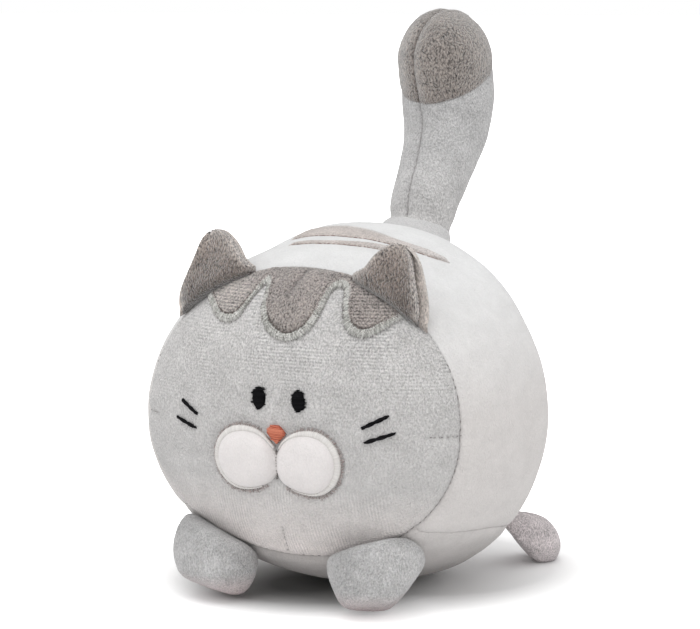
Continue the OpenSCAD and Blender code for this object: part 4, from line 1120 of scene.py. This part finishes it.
# %% The shape of an ear
def ear_grid(side, face, depth):
    """Points of one layer of an ear, drawn for the cat's left: face -1 is the front, depth 0 is between."""
    s = np.sin(math.pi / 2 * np.linspace(-1, 1, 96))[None, :]
    v = np.concatenate([-EAR_TUCK * np.cos(math.pi / 2 * np.linspace(0, 1, 12))[:-1],
                        np.sin(math.pi / 2 * np.linspace(0, 1, 70)) * 0.9985])[:, None]
    w = np.maximum(0, v)
    half = np.linalg.norm(EAR_HALF)
    closing, foot = np.sqrt(np.maximum(0, 1 - w ** 7.0)), np.exp(-w / EAR_FOOT)
    width = 0.985 * (1 - 0.62 * w - 0.2 * w * (1 - w)) * closing
    inner, outer = np.clip(-s, 0, 1) ** 2, np.clip(s, 0, 1) ** 2 * closing
    tip = np.polyval(EAR_TIP[side][::-1], w)
    reach = tip + s * width * (1 - EAR_CORNER * (s > 0) * foot)
    reach = reach + inner * (EAR_WAIST[side] * np.exp(-((w - 0.25) / 0.2) ** 2) - EAR_FLARE[side] * foot)
    reach = reach + outer * (EAR_OUTER_LOW[side] * np.exp(-((w - 0.3) / 0.25) ** 2)
                             + EAR_OUTER_HIGH[side] * np.exp(-((w - 0.85) / 0.2) ** 2))
    further = EAR_BACK_EDGE if face > 0 else -EAR_FRONT_EDGE[side]
    reach = reach + further / half * np.clip(s, 0, 1) ** 3 * closing
    to_side = (1 - np.abs(s)) * (width + 0.15) * half
    to_top = (1 - w) * EAR_HEIGHT[side]
    from_edge = -np.log(np.exp(-to_side / EAR_SOFT) + np.exp(-to_top / EAR_SOFT)) * EAR_SOFT
    from_edge = np.maximum(0, from_edge)
    rim = np.minimum(1, from_edge / EAR_RIM)
    round_off = np.sqrt(1 - (1 - rim) ** 2)
    full = EAR_ROOT + (EAR_LAYER - EAR_ROOT) * np.minimum(1, 3 * w)
    if face < 0:
        roll = np.sqrt(np.clip(1 - (v / EAR_TUCK) ** 2, 0, 1)) * (v < 0) + (v >= 0)
        full = (full + EAR_SWELL * np.exp(-(w / 0.3) ** 2) * (1 - np.abs(s) ** 3)) * roll
    thick = 0.12 * MM + full * round_off * (1 - 0.22 * w ** 2)
    cup = EAR_CUP * w * (1 - s * s) - 0.7 * MM * (1 - rim) * w
    sag = -0.8 * EAR_BOW * s * s * (1 - w)
    forward = cup + face * (0.05 * MM + depth * thick)
    points = (EAR_MIDDLE + EAR_HALF * reach[..., None]
              + np.stack([0 * reach, forward, EAR_HEIGHT[side] * v + sag], -1))
    uneven = 0.30 * MM * wander(points, 8 * MM, 6 + side) + 0.17 * MM * wander(points, 1.3 * MM, 7)
    points[..., 1] += face * depth * uneven * rim
    return points, from_edge, v + 0 * from_edge


# the front layer darkens towards its root: painted shade over the face; its pale colour is painted sheen
EAR_PLUSH = plush("ear_plush", rgb(142, 129, 121), rgb(66, 56, 50), grain=0.75, lie=(1, 1, 0.6), tilt=14,
                  pile=0.45 * MM, mottle=0.12, sheen=0.9, seam=0.75, seam_colour=rgb(54, 46, 43),
                  between=(108 * MM, 140 * MM), pale_colour=rgb(198, 189, 183))
EAR_BACK_PLUSH = plush("ear_back_plush", rgb(198, 189, 182), rgb(168, 158, 152), grain=0.4, lie=(1, 1, 0.6),
                       pile=0.45 * MM, mottle=0.08, sheen=0.5, seam=0.2, between=(108 * MM, 140 * MM))


def bend_ear(obj):
    """Bakes the placement of a piece of an ear into its mesh."""
    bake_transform(obj)


def ear_layer(side, label, face):
    """One layer of an ear, front or back."""
    name = "ear_%s_%s" % (label, "front" if face < 0 else "back")
    outer, from_edge, v = ear_grid(side, face, 1.0)
    inner = ear_grid(side, face, 0.0)[0]
    flip = np.array([side, 1, 1])
    obj = cloth(name + "_plush", outer * flip, inner * flip, EAR_PLUSH if face < 0 else EAR_BACK_PLUSH)
    # painted sheen: paler near the rim; painted shade: dark where the ear rolls under into the seam
    above = np.clip((v + 0.12) / 0.10, 0, 1)
    keep(obj, "pale", 0.85 * above * np.exp(-(from_edge / (2.9 * MM)) ** 1.3))
    keep(obj, "seam", 1 - above)
    bend_ear(obj)
    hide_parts(name)


for side, label in SIDES:
    for face in (-1, 1):
        ear_layer(side, label, face)

# %% Needle holes along an ear's rim
EAR_HOLE_THREAD = thread_material("ear_hole_thread", rgb(88, 80, 76), rgb(120, 110, 105), 0.8)


def ear_holes(side, label):
    """Short dark threads between the two layers."""
    edge = ear_grid(side, -1, 0.35)[0] * np.array([side, 1, 1])
    path = np.concatenate([edge[4:-1, -2], edge[-1, -3:3:-1], edge[-1:4:-1, 1]])
    lines = along_line(path, 1.5 * MM, 0.45 * MM)
    ways = np.broadcast_to(np.array([0, -1.0, 0]), lines.shape)
    obj = threads("ear_%s_holes" % label, lines + ways * 0.1 * MM, ways, 0.17 * MM, EAR_HOLE_THREAD,
                  "ear_fabric", ride=False)
    bend_ear(obj)


for side, label in SIDES:
    ear_holes(side, label)

# %% [markdown]
# ## The tail
# The tail is a stuffed tube that stands up, leans back and thickens into a round tip of taupe plush. It is
# sewn from two halves, and their seams twist a little, because the two edges were never fed evenly through
# the machine. Its rounded root sits in a low collar on the back. A curve with a bevel could give the tube,
# but then the two seams, the slanting edge of the tip and the puckers would have to be faked on one skin.

# %% The line of the tail
TAIL_ROOT, TAIL_WAIST, TAIL_END = 13.6 * MM, 13.5 * MM, 19 * MM
TAIL_LENGTH, TAIL_DOME = 75.5 * MM, 20 * MM
TAIL_TWIST = 18
TIP_START = 0.85
TIP_LOW, TIP_CLIMB = -5.4 * MM, 15.5 * MM   # lowest place of the tip's edge, and how far it climbs
TAIL_LEAN = [0, 0.06, 0.12, 0.225, 0.32, 0.385, 0.405, 0.39, 0.36]
TAIL_FULLNESS = [0, 0, 0.03, 0.18, 0.4, 0.73, 0.96, 1, 1]
TAIL_UP = outward(TAIL_SEAT)
TAIL_PIVOT = TAIL_SEAT + 8 * MM * TAIL_UP


def through(values, s):
    """Smooth value at a share s of the way along evenly spaced values."""
    v = np.array(values)
    last = len(v) - 1
    i = np.clip(np.floor(s * last).astype(int), 0, last - 1)
    return curve_between(v[np.maximum(i - 1, 0)], v[i], v[i + 1], v[np.minimum(i + 2, last)],
                         s * last - i)


def tail_middle(s):
    """Middle of the tail at a share s of its length."""
    return TAIL_PIVOT + TAIL_LENGTH * np.stack([0 * s, through(TAIL_LEAN, s), s], -1)


def tail_skin(w, angle, grow):
    """Points of the tail: w below 0 in its rounded root, 0 to 1 along it, above 1 in its rounded end."""
    w, angle, grow = np.broadcast_arrays(w, np.asarray(angle, float), grow)
    s = np.clip(w, 0, 1)
    ahead, behind = tail_middle(np.minimum(1, s + 0.06)), tail_middle(np.maximum(0, s - 0.06))
    way = (ahead - behind) / np.linalg.norm(ahead - behind, axis=-1, keepdims=True)
    tilt = np.radians(90 * np.clip(w - 1, 0, 1) - 90 * np.clip(-w, 0, 1))
    radius = TAIL_WAIST + (TAIL_END - TAIL_WAIST) * through(TAIL_FULLNESS, s)
    radius = np.where(w < 0, TAIL_ROOT, radius) + grow
    reach = np.where(w < 0, TAIL_ROOT, TAIL_DOME) + grow
    a = np.radians(angle - TAIL_TWIST * s)
    front = np.stack([0 * s, -way[..., 2], way[..., 1]], -1)
    flat = front * np.cos(a)[..., None] + np.stack([np.sin(a), 0 * s, 0 * s], -1)
    return (tail_middle(s) + (reach * np.sin(tilt))[..., None] * way
            + (radius * np.cos(tilt))[..., None] * flat)


def tip_share(angle):
    """Share of the tail's length at which the tip starts: lowest in front, climbing round both sides."""
    turn = np.radians(angle - 12) / 2
    return TIP_START + (TIP_LOW + TIP_CLIMB * np.abs(np.sin(turn)) ** 1.25) / TAIL_LENGTH


TAIL_STITCH = 2.6 * MM
TAIL_CREASE = 10.5 * MM                # how far along the tail the top of its collar grips it


def tail_seam(w, angle):
    """Distance from the nearer of the two long seams."""
    radius = TAIL_WAIST + (TAIL_END - TAIL_WAIST) * np.clip(w, 0, 1)
    flat = np.cos(np.radians(90 * np.clip(w - 1, 0, 1)))
    off = np.minimum(np.abs(angle), 180 - np.abs(angle))
    return np.radians(off) * radius * np.maximum(0.1, flat)


def tail_beat(w):
    """A wave from -1 to 1 along the tail's long seams, one for each stitch."""
    along = w * TAIL_LENGTH
    return np.cos(2 * math.pi * along / TAIL_STITCH + 1.3 * np.sin(along / (7 * MM)))


def tail_relief(w, angle, tip):
    """Height of the tail's cover: sunk and puckered at its seams, lumpy between them."""
    base = tail_skin(w, angle, 0.0)
    d, along = tail_seam(w, angle), w * TAIL_LENGTH
    h = 0.45 * MM * wander(base, 20 * MM, 8) + 0.18 * MM * wander(base, 6 * MM, 9)
    h = h - 0.55 * MM * np.exp(-(d / (2.0 * MM)) ** 2) - 0.45 * MM * np.exp(-(d / (0.5 * MM)) ** 1.3)
    h = h + 0.25 * MM * np.exp(-((d - 4.2 * MM) / (2.4 * MM)) ** 2)
    h = h + 0.16 * MM * tail_beat(w) * np.exp(-((d - 0.9 * MM) / (1.8 * MM)) ** 2)
    h = h + 1.2 * MM * np.exp(-((w - 0.55) / 0.22) ** 2) * np.maximum(0, np.cos(np.radians(angle - 20)))
    if tip:
        from_edge = (w - tip_share(angle)) * TAIL_LENGTH
        h = h + 0.30 * MM * np.clip(from_edge / (1.2 * MM), 0, 1) ** 0.5
        h = h + 0.15 * MM * wander(base, 1.2 * MM, 10)
    else:
        to_edge = (tip_share(angle) - w) * TAIL_LENGTH
        h = h - 0.25 * MM * np.exp(-(to_edge / (1.5 * MM)) ** 2)
        h = h - 1.1 * MM * np.exp(-((along - TAIL_CREASE + 1 * MM) / (3.0 * MM)) ** 2)
    return np.where(w < 0, h * np.clip(1 + 6 * w, 0, 1), h)

# %% Tail covers and tips
TAIL_PLUSH = plush("tail_plush", rgb(194, 193, 193), rgb(202, 200, 199), grain=0.24, mottle=0.07,
                   pile=0.35 * MM, seam=0.36, seam_colour=rgb(132, 126, 123), between=(135 * MM, 165 * MM))
TIP_PLUSH = plush("tip_plush", rgb(142, 133, 127), rgb(142, 133, 127), grain=0.72, lie=(1, 1, 0.6), tilt=52,
                  pile=0.45 * MM, mottle=0.14, sheen=1.0, seam=0.5, seam_colour=rgb(104, 92, 88))
TAIL_ROWS, TAIL_COLUMNS = 150, 96
TAIL_START, TAIL_STOP = -0.7, 1.985    # where the cover starts in the rounded root and ends on the dome
TIP_TUCK = 0.5 * MM                    # the tip reaches this far under the end of the tail's cover


def tail_piece(name, share_at, side, material, nodes, tip=False):
    """Half of the tail or of its tip, from seam to seam, at the shares of its length given for each angle."""
    angle = side * (0.12 + 179.76 * graded(TAIL_COLUMNS, 0.35, 0.35))[None, :]
    w = share_at(angle)
    outer, inner = tail_skin(w, angle, tail_relief(w, angle, tip)), tail_skin(w, angle, -FABRIC)
    obj = cloth(name, outer, inner, material)
    near = (0.55 + 0.45 * tail_beat(w)) * np.exp(-(tail_seam(w, angle) / (0.5 * MM)) ** 2) + 0 * angle
    if tip:
        near = np.maximum(near, 0.75 * np.exp(-((w - tip_share(angle)) * TAIL_LENGTH / (2.2 * MM)) ** 2))
    keep(obj, "seam", near)
    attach(obj, "tail")
    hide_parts(*nodes)


def cover_share(angle):
    """Shares of the tail's length for the rows of its cover."""
    return TAIL_START + (tip_share(angle) - TAIL_START) * np.linspace(0, 1, TAIL_ROWS)[:, None]


def dome_share(angle):
    """The same for the rows of its tip."""
    rows = graded(90, 0.25, 0.35)[:, None]
    return tip_share(angle) - TIP_TUCK / TAIL_LENGTH + (TAIL_STOP - tip_share(angle)) * rows


for side, label in SIDES:
    tail_piece("tail_%s_plush" % label, cover_share, side, TAIL_PLUSH,
               ["tail_" + label] + ["tail_stuffing"] * (side > 0))
    tail_piece("tail_tip_%s_plush" % label, dome_share, side, TIP_PLUSH, ["tail_tip_" + label],
               tip=True)

# %% [markdown]
# ## The collar at the tail's root
# Where the tail leaves the back, the body's fabric is drawn up round it like a short sleeve and stitched to
# it, so a full pale roll stands between the two with a crease on top. The roll is drawn from the crease
# down to the back. Low down at the rear its edge stands a little off the tail.

# %% Tail collar
COLLAR_PLUSH = plush("collar_plush", rgb(206, 205, 205), rgb(210, 209, 208), grain=0.12, mottle=0.05,
                     pile=0.25 * MM, seam=0.6, seam_colour=rgb(118, 112, 110), between=(110 * MM, 135 * MM))
COLLAR_TUCK, COLLAR_ROLL, COLLAR_FOOT = 11.2 * MM, 6.5 * MM, 20.5 * MM
COLLAR_AT, COLLAR_TOP = 31 * MM, 139.8 * MM   # at this y its free edge is this high
COLLAR_SLOPE = np.array([-0.1, -0.5])  # how the free edge falls away to the left and to the rear


def tail_collar():
    """The drawn-up sleeve round the root of the tail."""
    q = np.linspace(0, 1, 40)[:, None, None]
    turn = np.radians(np.linspace(0, 360, 181)[:-1])
    round_tail = np.stack([np.cos(turn), np.sin(turn), 0 * turn], -1)
    share = np.full(len(turn), TAIL_CREASE / TAIL_LENGTH)
    for _ in range(8):
        top = tail_middle(share) + COLLAR_TUCK * round_tail
        top[:, 2] = COLLAR_TOP + (top[:, :2] - [0, COLLAR_AT]) @ COLLAR_SLOPE
        share = np.clip((top[:, 2] - TAIL_PIVOT[2]) / TAIL_LENGTH, 0, 1)
    in_front = (0.5 - 0.5 * np.sin(turn))[:, None]
    rear_way = np.cross(TAIL_UP, [1.0, 0, 0])
    foot_way = np.cos(turn)[:, None] * np.array([1.0, 0, 0]) + np.sin(turn)[:, None] * rear_way
    foot = TAIL_SEAT + COLLAR_FOOT * foot_way
    drop = np.zeros(len(foot))
    for _ in range(30):
        drop = drop + (1 - fullness(foot + drop[:, None] * TAIL_UP)) * 14 * MM
    foot = foot + (drop - 1.0 * MM)[:, None] * TAIL_UP
    over = top + COLLAR_ROLL * (0.55 + 0.45 * in_front) * round_tail + [0, 0, 0.8 * MM]
    under = foot + (5 + 4 * in_front) * MM * TAIL_UP - (7 - 1.5 * in_front) * MM * foot_way
    weights = [(1 - q) ** 3, 3 * q * (1 - q) ** 2, 3 * q * q * (1 - q), q ** 3]
    outer = sum(weight * place for weight, place in zip(weights, [top, over, under, foot]))
    lump = 0.35 * MM * wander(outer, 7 * MM, 12) * np.sin(math.pi * q[..., 0])
    outer = outer + lump[..., None] * round_tail
    rows, columns = outer.shape[:2]
    inner = outer - 1.6 * MM * (round_tail + [0, 0, 0.6]) * np.minimum(1, 6 * q + 0.25)
    loop = [(c, (c + 1) % columns) for c in range(columns)]
    low = rows * columns
    faces = []
    last = (rows - 1) * columns
    for row in range(0, last, columns):
        ahead = row + columns
        faces += [[row + a, row + b, ahead + b, ahead + a] for a, b in loop]
        faces += [[low + row + b, low + row + a, low + ahead + a, low + ahead + b] for a, b in loop]
    faces += [[b, a, a + low, b + low] for a, b in loop]
    faces += [[last + a, last + b, last + b + low, last + a + low] for a, b in loop]
    obj = mesh_object("tail_collar", np.concatenate([outer.reshape(-1, 3), inner.reshape(-1, 3)]), faces,
                      COLLAR_PLUSH)
    # dark at its top where it is stitched to the tail: a dark seam, and painted shade of the crease
    keep(obj, "seam", np.exp(-(q[..., 0] / 0.07) ** 2) + np.zeros((rows, columns)))
    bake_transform(obj)
    print("tail_collar: top %.1f mm" % (outer[..., 2].max() / MM))


tail_collar()

# %% [markdown]
# ## Paws
# The front paws are stubby bags with blunt corners, sewn on below the face and turned outward a little. The
# rear paws lie flat and point back, narrow where they leave the body and full at the end. A paw starts as
# an egg that is pressed flat against the body. A few more flats are then cut from it, with rounded edges,
# where the real bag is held by its corners and its sole. A subdivided block would also give a blunt bag,
# but with flats each corner can be put where the real one is. The rear covers still end a few
# millimetres short of the body: to meet it, they would have to run on at the root.

# %% The shape of a paw
PAW_SINK = 1.3 * MM                    # a paw goes no further than this past its seat, into the body
PAW_FABRIC = 1.6 * MM


def unit(v):
    """A vector of length one."""
    return np.asarray(v, float) / np.linalg.norm(v)


def turned(angle, rise):
    """Axes of a paw turned sideways and tipped up: along x, along y and along z before it is turned."""
    a, r = math.radians(angle), math.radians(rise)
    first = np.array([math.cos(a), math.sin(a), 0])
    second = np.array([-math.sin(a) * math.cos(r), math.cos(a) * math.cos(r), math.sin(r)])
    return np.array([first, second, np.cross(first, second)])


def make_paw(t, a, middle, axes, size, squareness, flats, taper=0.0, sharp=10.0):
    """A paw's middle, the way out of the body at its seat, and the flats that bound it."""
    seat = skin(float(t), float(a))
    way = outward(seat)
    middle = np.array(middle)
    flats = [(unit(flat), distance) for flat, distance in flats] + [(-way, (middle - seat) @ way + PAW_SINK)]
    return {"middle": middle, "way": way, "axes": axes, "size": np.array(size), "flats": flats, "seat": seat,
            "squareness": squareness, "taper": taper, "sharp": sharp}


def paw_points(paw, ways):
    """Points of a paw's cover in each direction from its middle."""
    k, sharp = paw["squareness"], paw["sharp"]
    egg = sum(np.abs(ways @ axis / size) ** k for axis, size in zip(paw["axes"], paw["size"])) ** (1 / k)
    total = egg ** sharp
    for flat, distance in paw["flats"]:
        total = total + np.maximum(0, ways @ flat / distance) ** sharp
    offset = ways * (total ** (-1 / sharp))[..., None]
    length = (offset @ paw["axes"][0])[..., None]
    side = offset - length * paw["axes"][0]
    return paw["middle"] + length * paw["axes"][0] + side * (1 + paw["taper"] * length / paw["size"][0])


def paw_ways(paw, tilt, turn):
    """Directions round a paw: tilt 0 points at the body and 180 away from it."""
    side = unit(np.cross([0, 0, 1], paw["way"]))
    up = np.cross(paw["way"], side)
    a, b = np.radians(tilt)[..., None], np.radians(turn)[..., None]
    return -np.cos(a) * paw["way"] + np.sin(a) * (np.cos(b) * side + np.sin(b) * up)


PAW_PLUSH = plush("paw_plush", rgb(192, 191, 191), rgb(208, 192, 192), grain=0.24, pile=0.35 * MM,
                  mottle=0.10, sheen=0.4, between=(3 * MM, 12 * MM))
REAR_PAW_PLUSH = plush("rear_paw_plush", rgb(212, 203, 204), rgb(212, 203, 204), grain=0.34,
                       pile=0.35 * MM, mottle=0.12, sheen=0.4, seam=0.4)


def paw_pieces(side, name, paw, material, folds, tinted=None):
    """The top and the under side of a paw's cover."""
    flip = np.array([side, 1, 1])
    for half in (1, 0):
        radius, turn = disc_grid(110)
        tilt = 180 - 90 * radius if half else 90 * radius
        ways = paw_ways(paw, tilt, turn)
        points = paw_points(paw, ways)
        h = 0.30 * MM * wander(points, 9 * MM, 20 + side) + 0.14 * MM * wander(points, 1.3 * MM, 21)
        dark = np.zeros(h.shape)
        # painted shade: the cover darkens in its folds, the more the deeper they sink
        for fold in folds:
            height = fold(points)
            h = h + height
            dark = dark + np.clip(-height / (1.0 * MM), 0, 1)
        # painted shade round the given places
        if tinted is not None:
            gap = np.linalg.norm(points - tinted[side], axis=-1)
            dark = dark + PAINTED_SHADE_AMOUNT * np.exp(-(gap / PAINTED_SHADE_REACH) ** 2)
        outer = points + ways * h[..., None]
        inner = points - ways * PAW_FABRIC
        outer[..., 2] = np.maximum(outer[..., 2], 0.1 * MM)
        inner[..., 2] = np.maximum(inner[..., 2], 0.8 * MM)
        part = name + ("_top" if half else "_under")
        obj = cloth(part + "_plush", outer * flip, inner * flip, material)
        keep(obj, "seam", dark)
        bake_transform(obj)
        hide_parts(part, *([name + "_stuffing"] if half else []))


def pinch(line, depth, radius):
    """A short fold in a paw's cover along a line."""
    line = np.linspace(*[np.array(end) for end in line], 20)
    return lambda points: -depth * np.exp(-(distance_to(line, points)[0] / radius) ** 1.5)

# %% Front paws
FRONT_TURN, FRONT_RISE = 23.7, -5.4    # degrees by which a front paw turns outward and tips
flat_ways = turned(FRONT_TURN, 0)


def flat_at(sideways, backward, upward):
    """A flat's direction, given along the paw's own turned axes."""
    return sideways * flat_ways[0] + backward * flat_ways[1] + upward * flat_ways[2]


front_paw = make_paw(-47, -59, (34.2 * MM, -63.0 * MM, 16.2 * MM), turned(FRONT_TURN, FRONT_RISE),
                     np.array([18.7, 14.0, 19.5]) * MM, 2.2, [
                         (flat_at(0.79, -0.15, -0.61), 12.4 * MM),
                         (flat_at(-0.90, -0.15, -0.43), 17.4 * MM),
                         (flat_at(0, -0.46, -0.89), 12.7 * MM),
                         ((-0.36, 0.16, 0.92), 11.2 * MM),
                         (flat_at(0, 0, -1), 15.6 * MM)])

# where painted shade darkens each front paw below the face, drawn for the cat's left
PAINTED_SHADE_PLACES = {1: np.array([28, -72, 23]) * MM, -1: np.array([39, -66, 27]) * MM}
PAINTED_SHADE_REACH, PAINTED_SHADE_AMOUNT = 9 * MM, 0.8
front_fold = pinch(((27 * MM, -60 * MM, 28 * MM), (38 * MM, -56 * MM, 28 * MM)), 0.5 * MM, 6 * MM)

# %% Rear paws
REAR_SEAT = (46.5, -52.0)              # where it is sewn on, in the body's two angles
REAR_FALL = math.radians(18)           # fall of the paw's long axis towards its end
REAR_YAW = math.atan2(14.5, 7.5)       # it points back, and outward half as much
REAR_SIZE = np.array([22.0, 11.5, 10.5]) * MM
REAR_HEIGHT = 11.2 * MM                # of the paw's middle
along = np.array([math.cos(REAR_YAW) * math.cos(REAR_FALL), math.sin(REAR_YAW) * math.cos(REAR_FALL),
                  -math.sin(REAR_FALL)])
across = np.array([-math.sin(REAR_YAW), math.cos(REAR_YAW), 0])
rear_middle = skin(*REAR_SEAT) + np.array([11.5, 16.6, 0]) * MM
rear_middle[2] = REAR_HEIGHT
rear_axes = np.array([along, across, np.cross(along, across)])
rear_paw = make_paw(*REAR_SEAT, rear_middle, rear_axes, REAR_SIZE, 2.3, [
    ((-0.64, -0.43, -0.63), 4.8 * MM),
    ((0.89, 0.45, -0.10), 15.6 * MM),
    ((0.62, 0.42, 0.66), 11.0 * MM),
    ((0.06, 0.18, 0.98), 9.8 * MM)], taper=0.15, sharp=5.0)
rear_end = rear_middle + along * 16 * MM
rear_fold = pinch((rear_end + np.array([2, -5, -3]) * MM, rear_end + np.array([2, -3, 3]) * MM),
                  1.0 * MM, 1.3 * MM)

# %% Making the four paws
for side, label in SIDES:
    paw_pieces(side, "front_paw_" + label, front_paw, PAW_PLUSH, [front_fold], PAINTED_SHADE_PLACES)
    paw_pieces(side, "rear_paw_" + label, rear_paw, REAR_PAW_PLUSH, [rear_fold])

# %% [markdown]
# ## Closing stitches
# The body is closed by hand under the tail, with a row of small ladder stitches after it has been filled.

# %% Closing stitches
u = np.linspace(0.82, 0.98, 8)
middle = rump_point(u, -90.0)
q = np.linspace(-1, 1, 7)[None, :, None]
lines = middle[:, None] + q * np.array([2.0 * MM, 0, 0.6 * MM])
lift = 0.9 * MM * np.sqrt(1 - q[..., 0] ** 2) - 0.5 * MM
threads("closing_stitch_threads", cover(lines, np.broadcast_to(lift, lines.shape[:2])), outward(lines),
        0.4 * MM, BORDER_THREAD, "white_thread", ["closing_stitches"])

# %% [markdown]
# ## Floor, light and camera
# The toy stands on a pale floor in soft, even light from above. Sun lamps with a wide angle light the floor
# evenly however far it runs, where an area lamp would leave a bright pool. Away from the toy the floor
# shows white to the camera, so that only the soft shadow is left of it. Under the body the camera also sees
# a painted shadow on the floor.

# %% Floor and backdrop
FLOOR_TONE = 0.93
SHADOW_PLACES = [(-18 * MM, -10 * MM, 0), (14 * MM, 22 * MM, 0)]   # the floor turns white around these
SHADOW_REACH = (50 * MM, 112 * MM)     # from where to where it turns white
PAINTED_SHADOW_PLACE, PAINTED_SHADOW_TONE = (-14 * MM, -30 * MM, 0), 0.22   # a painted shadow on the floor, darkest under the body
PAINTED_SHADOW_REACH = (12 * MM, 55 * MM)        # from where to where the painted shadow fades out
ROOM_LIGHT = 0.72                      # what the room's walls and ceiling send back


def floor_material():
    """A pale floor that keeps the object's shadow, adds a painted shadow under it, and fades to white around
    it.
    """
    n = Nodes("pale_floor")

    def distance_from(place):
        """Distance on the floor from a place."""
        gap = n.new("ShaderNodeVectorMath", operation="DISTANCE")
        n.join(n.place, gap.inputs[0])
        gap.inputs[1].default_value = place
        return gap.outputs["Value"]

    seen = n.new("ShaderNodeLightPath")
    # painted shadow: to the camera the floor darkens under the body
    painted_shadow_fade = n.spread(distance_from(PAINTED_SHADOW_PLACE), *PAINTED_SHADOW_REACH)
    painted_shadow_fade = n.maths("MAXIMUM", painted_shadow_fade, n.maths("SUBTRACT", 1.0, seen.outputs["Is Camera Ray"]))
    n.join(n.mix(painted_shadow_fade, (PAINTED_SHADOW_TONE,) * 3 + (1,), (FLOOR_TONE,) * 3 + (1,)), n.shader.inputs["Base Color"])
    n.shader.inputs["Roughness"].default_value = 0.9
    n.shader.inputs["Specular IOR Level"].default_value = 0.0
    fade = n.maths("MINIMUM", *[n.spread(distance_from(place), *SHADOW_REACH) for place in SHADOW_PLACES])
    n.shader.inputs["Emission Color"].default_value = (1, 1, 1, 1)
    glow = n.maths("MULTIPLY", fade, seen.outputs["Is Camera Ray"])
    n.join(glow, n.shader.inputs["Emission Strength"])
    return n.material


bpy.ops.mesh.primitive_plane_add(size=60)
floor = bpy.context.object
floor.name = "floor"
floor.data.materials.append(floor_material())
print("floor: white beyond %.0f mm" % (SHADOW_REACH[1] / MM))

world = bpy.data.worlds.new("pale_room")
bpy.context.scene.world = world
world.use_nodes = True
sky = world.node_tree.nodes
backdrop = world.node_tree.nodes["Background"]
seen = sky.new("ShaderNodeLightPath")
white = sky.new("ShaderNodeBackground")
white.inputs["Color"].default_value = (1, 1, 1, 1)
backdrop.inputs["Color"].default_value = (1, 1, 1, 1)
backdrop.inputs["Strength"].default_value = ROOM_LIGHT
choose = sky.new("ShaderNodeMixShader")
rays = sky.new("ShaderNodeMath")
rays.operation = "MAXIMUM"
world.node_tree.links.new(seen.outputs["Is Camera Ray"], rays.inputs[0])
world.node_tree.links.new(seen.outputs["Is Glossy Ray"], rays.inputs[1])
world.node_tree.links.new(rays.outputs[0], choose.inputs[0])
world.node_tree.links.new(backdrop.outputs[0], choose.inputs[1])
world.node_tree.links.new(white.outputs[0], choose.inputs[2])
world.node_tree.links.new(choose.outputs[0], sky["World Output"].inputs["Surface"])

# %% Lamps
def sun(name, way, strength, spread):
    """A sun lamp whose light comes from a direction; a wide spread gives soft shadows."""
    data = bpy.data.lights.new(name, "SUN")
    data.energy = strength
    data.angle = math.radians(spread)
    obj = bpy.data.objects.new(name, data)
    bpy.context.scene.collection.objects.link(obj)
    obj.rotation_euler = Vector(way).to_track_quat("Z", "Y").to_euler()
    print("lamp:", name)


sun("top_lamp", (-0.1, -0.25, 1.0), 1.05, 50)
sun("front_lamp", (-0.1, -1.0, 1.0), 0.35, 60)
sun("side_card", (0.95, 0.1, 0.25), 0.37, 60)

# %% Camera
CAMERA_TURN, CAMERA_RISE, CAMERA_REACH = 27.5, 7.5, 921 * MM
CAMERA_LENS = 122.9                    # focal length for a sensor 36 mm wide
CAMERA_TARGET = Vector((-1.3 * MM, -15.7 * MM, 104.5 * MM))
camera = bpy.data.objects.new("camera", bpy.data.cameras.new("camera"))
bpy.context.scene.collection.objects.link(camera)
turn, rise = math.radians(CAMERA_TURN), math.radians(CAMERA_RISE)
away = Vector((math.sin(turn) * math.cos(rise), -math.cos(turn) * math.cos(rise), math.sin(rise)))
camera.location = CAMERA_TARGET + away * CAMERA_REACH
camera.rotation_euler = (-away).to_track_quat("-Z", "Y").to_euler()
camera.data.sensor_width = 36
camera.data.lens = CAMERA_LENS
bpy.context.scene.camera = camera
bpy.context.scene.view_settings.view_transform = "Standard"
print("camera: %.0f mm from the toy" % (CAMERA_REACH / MM))
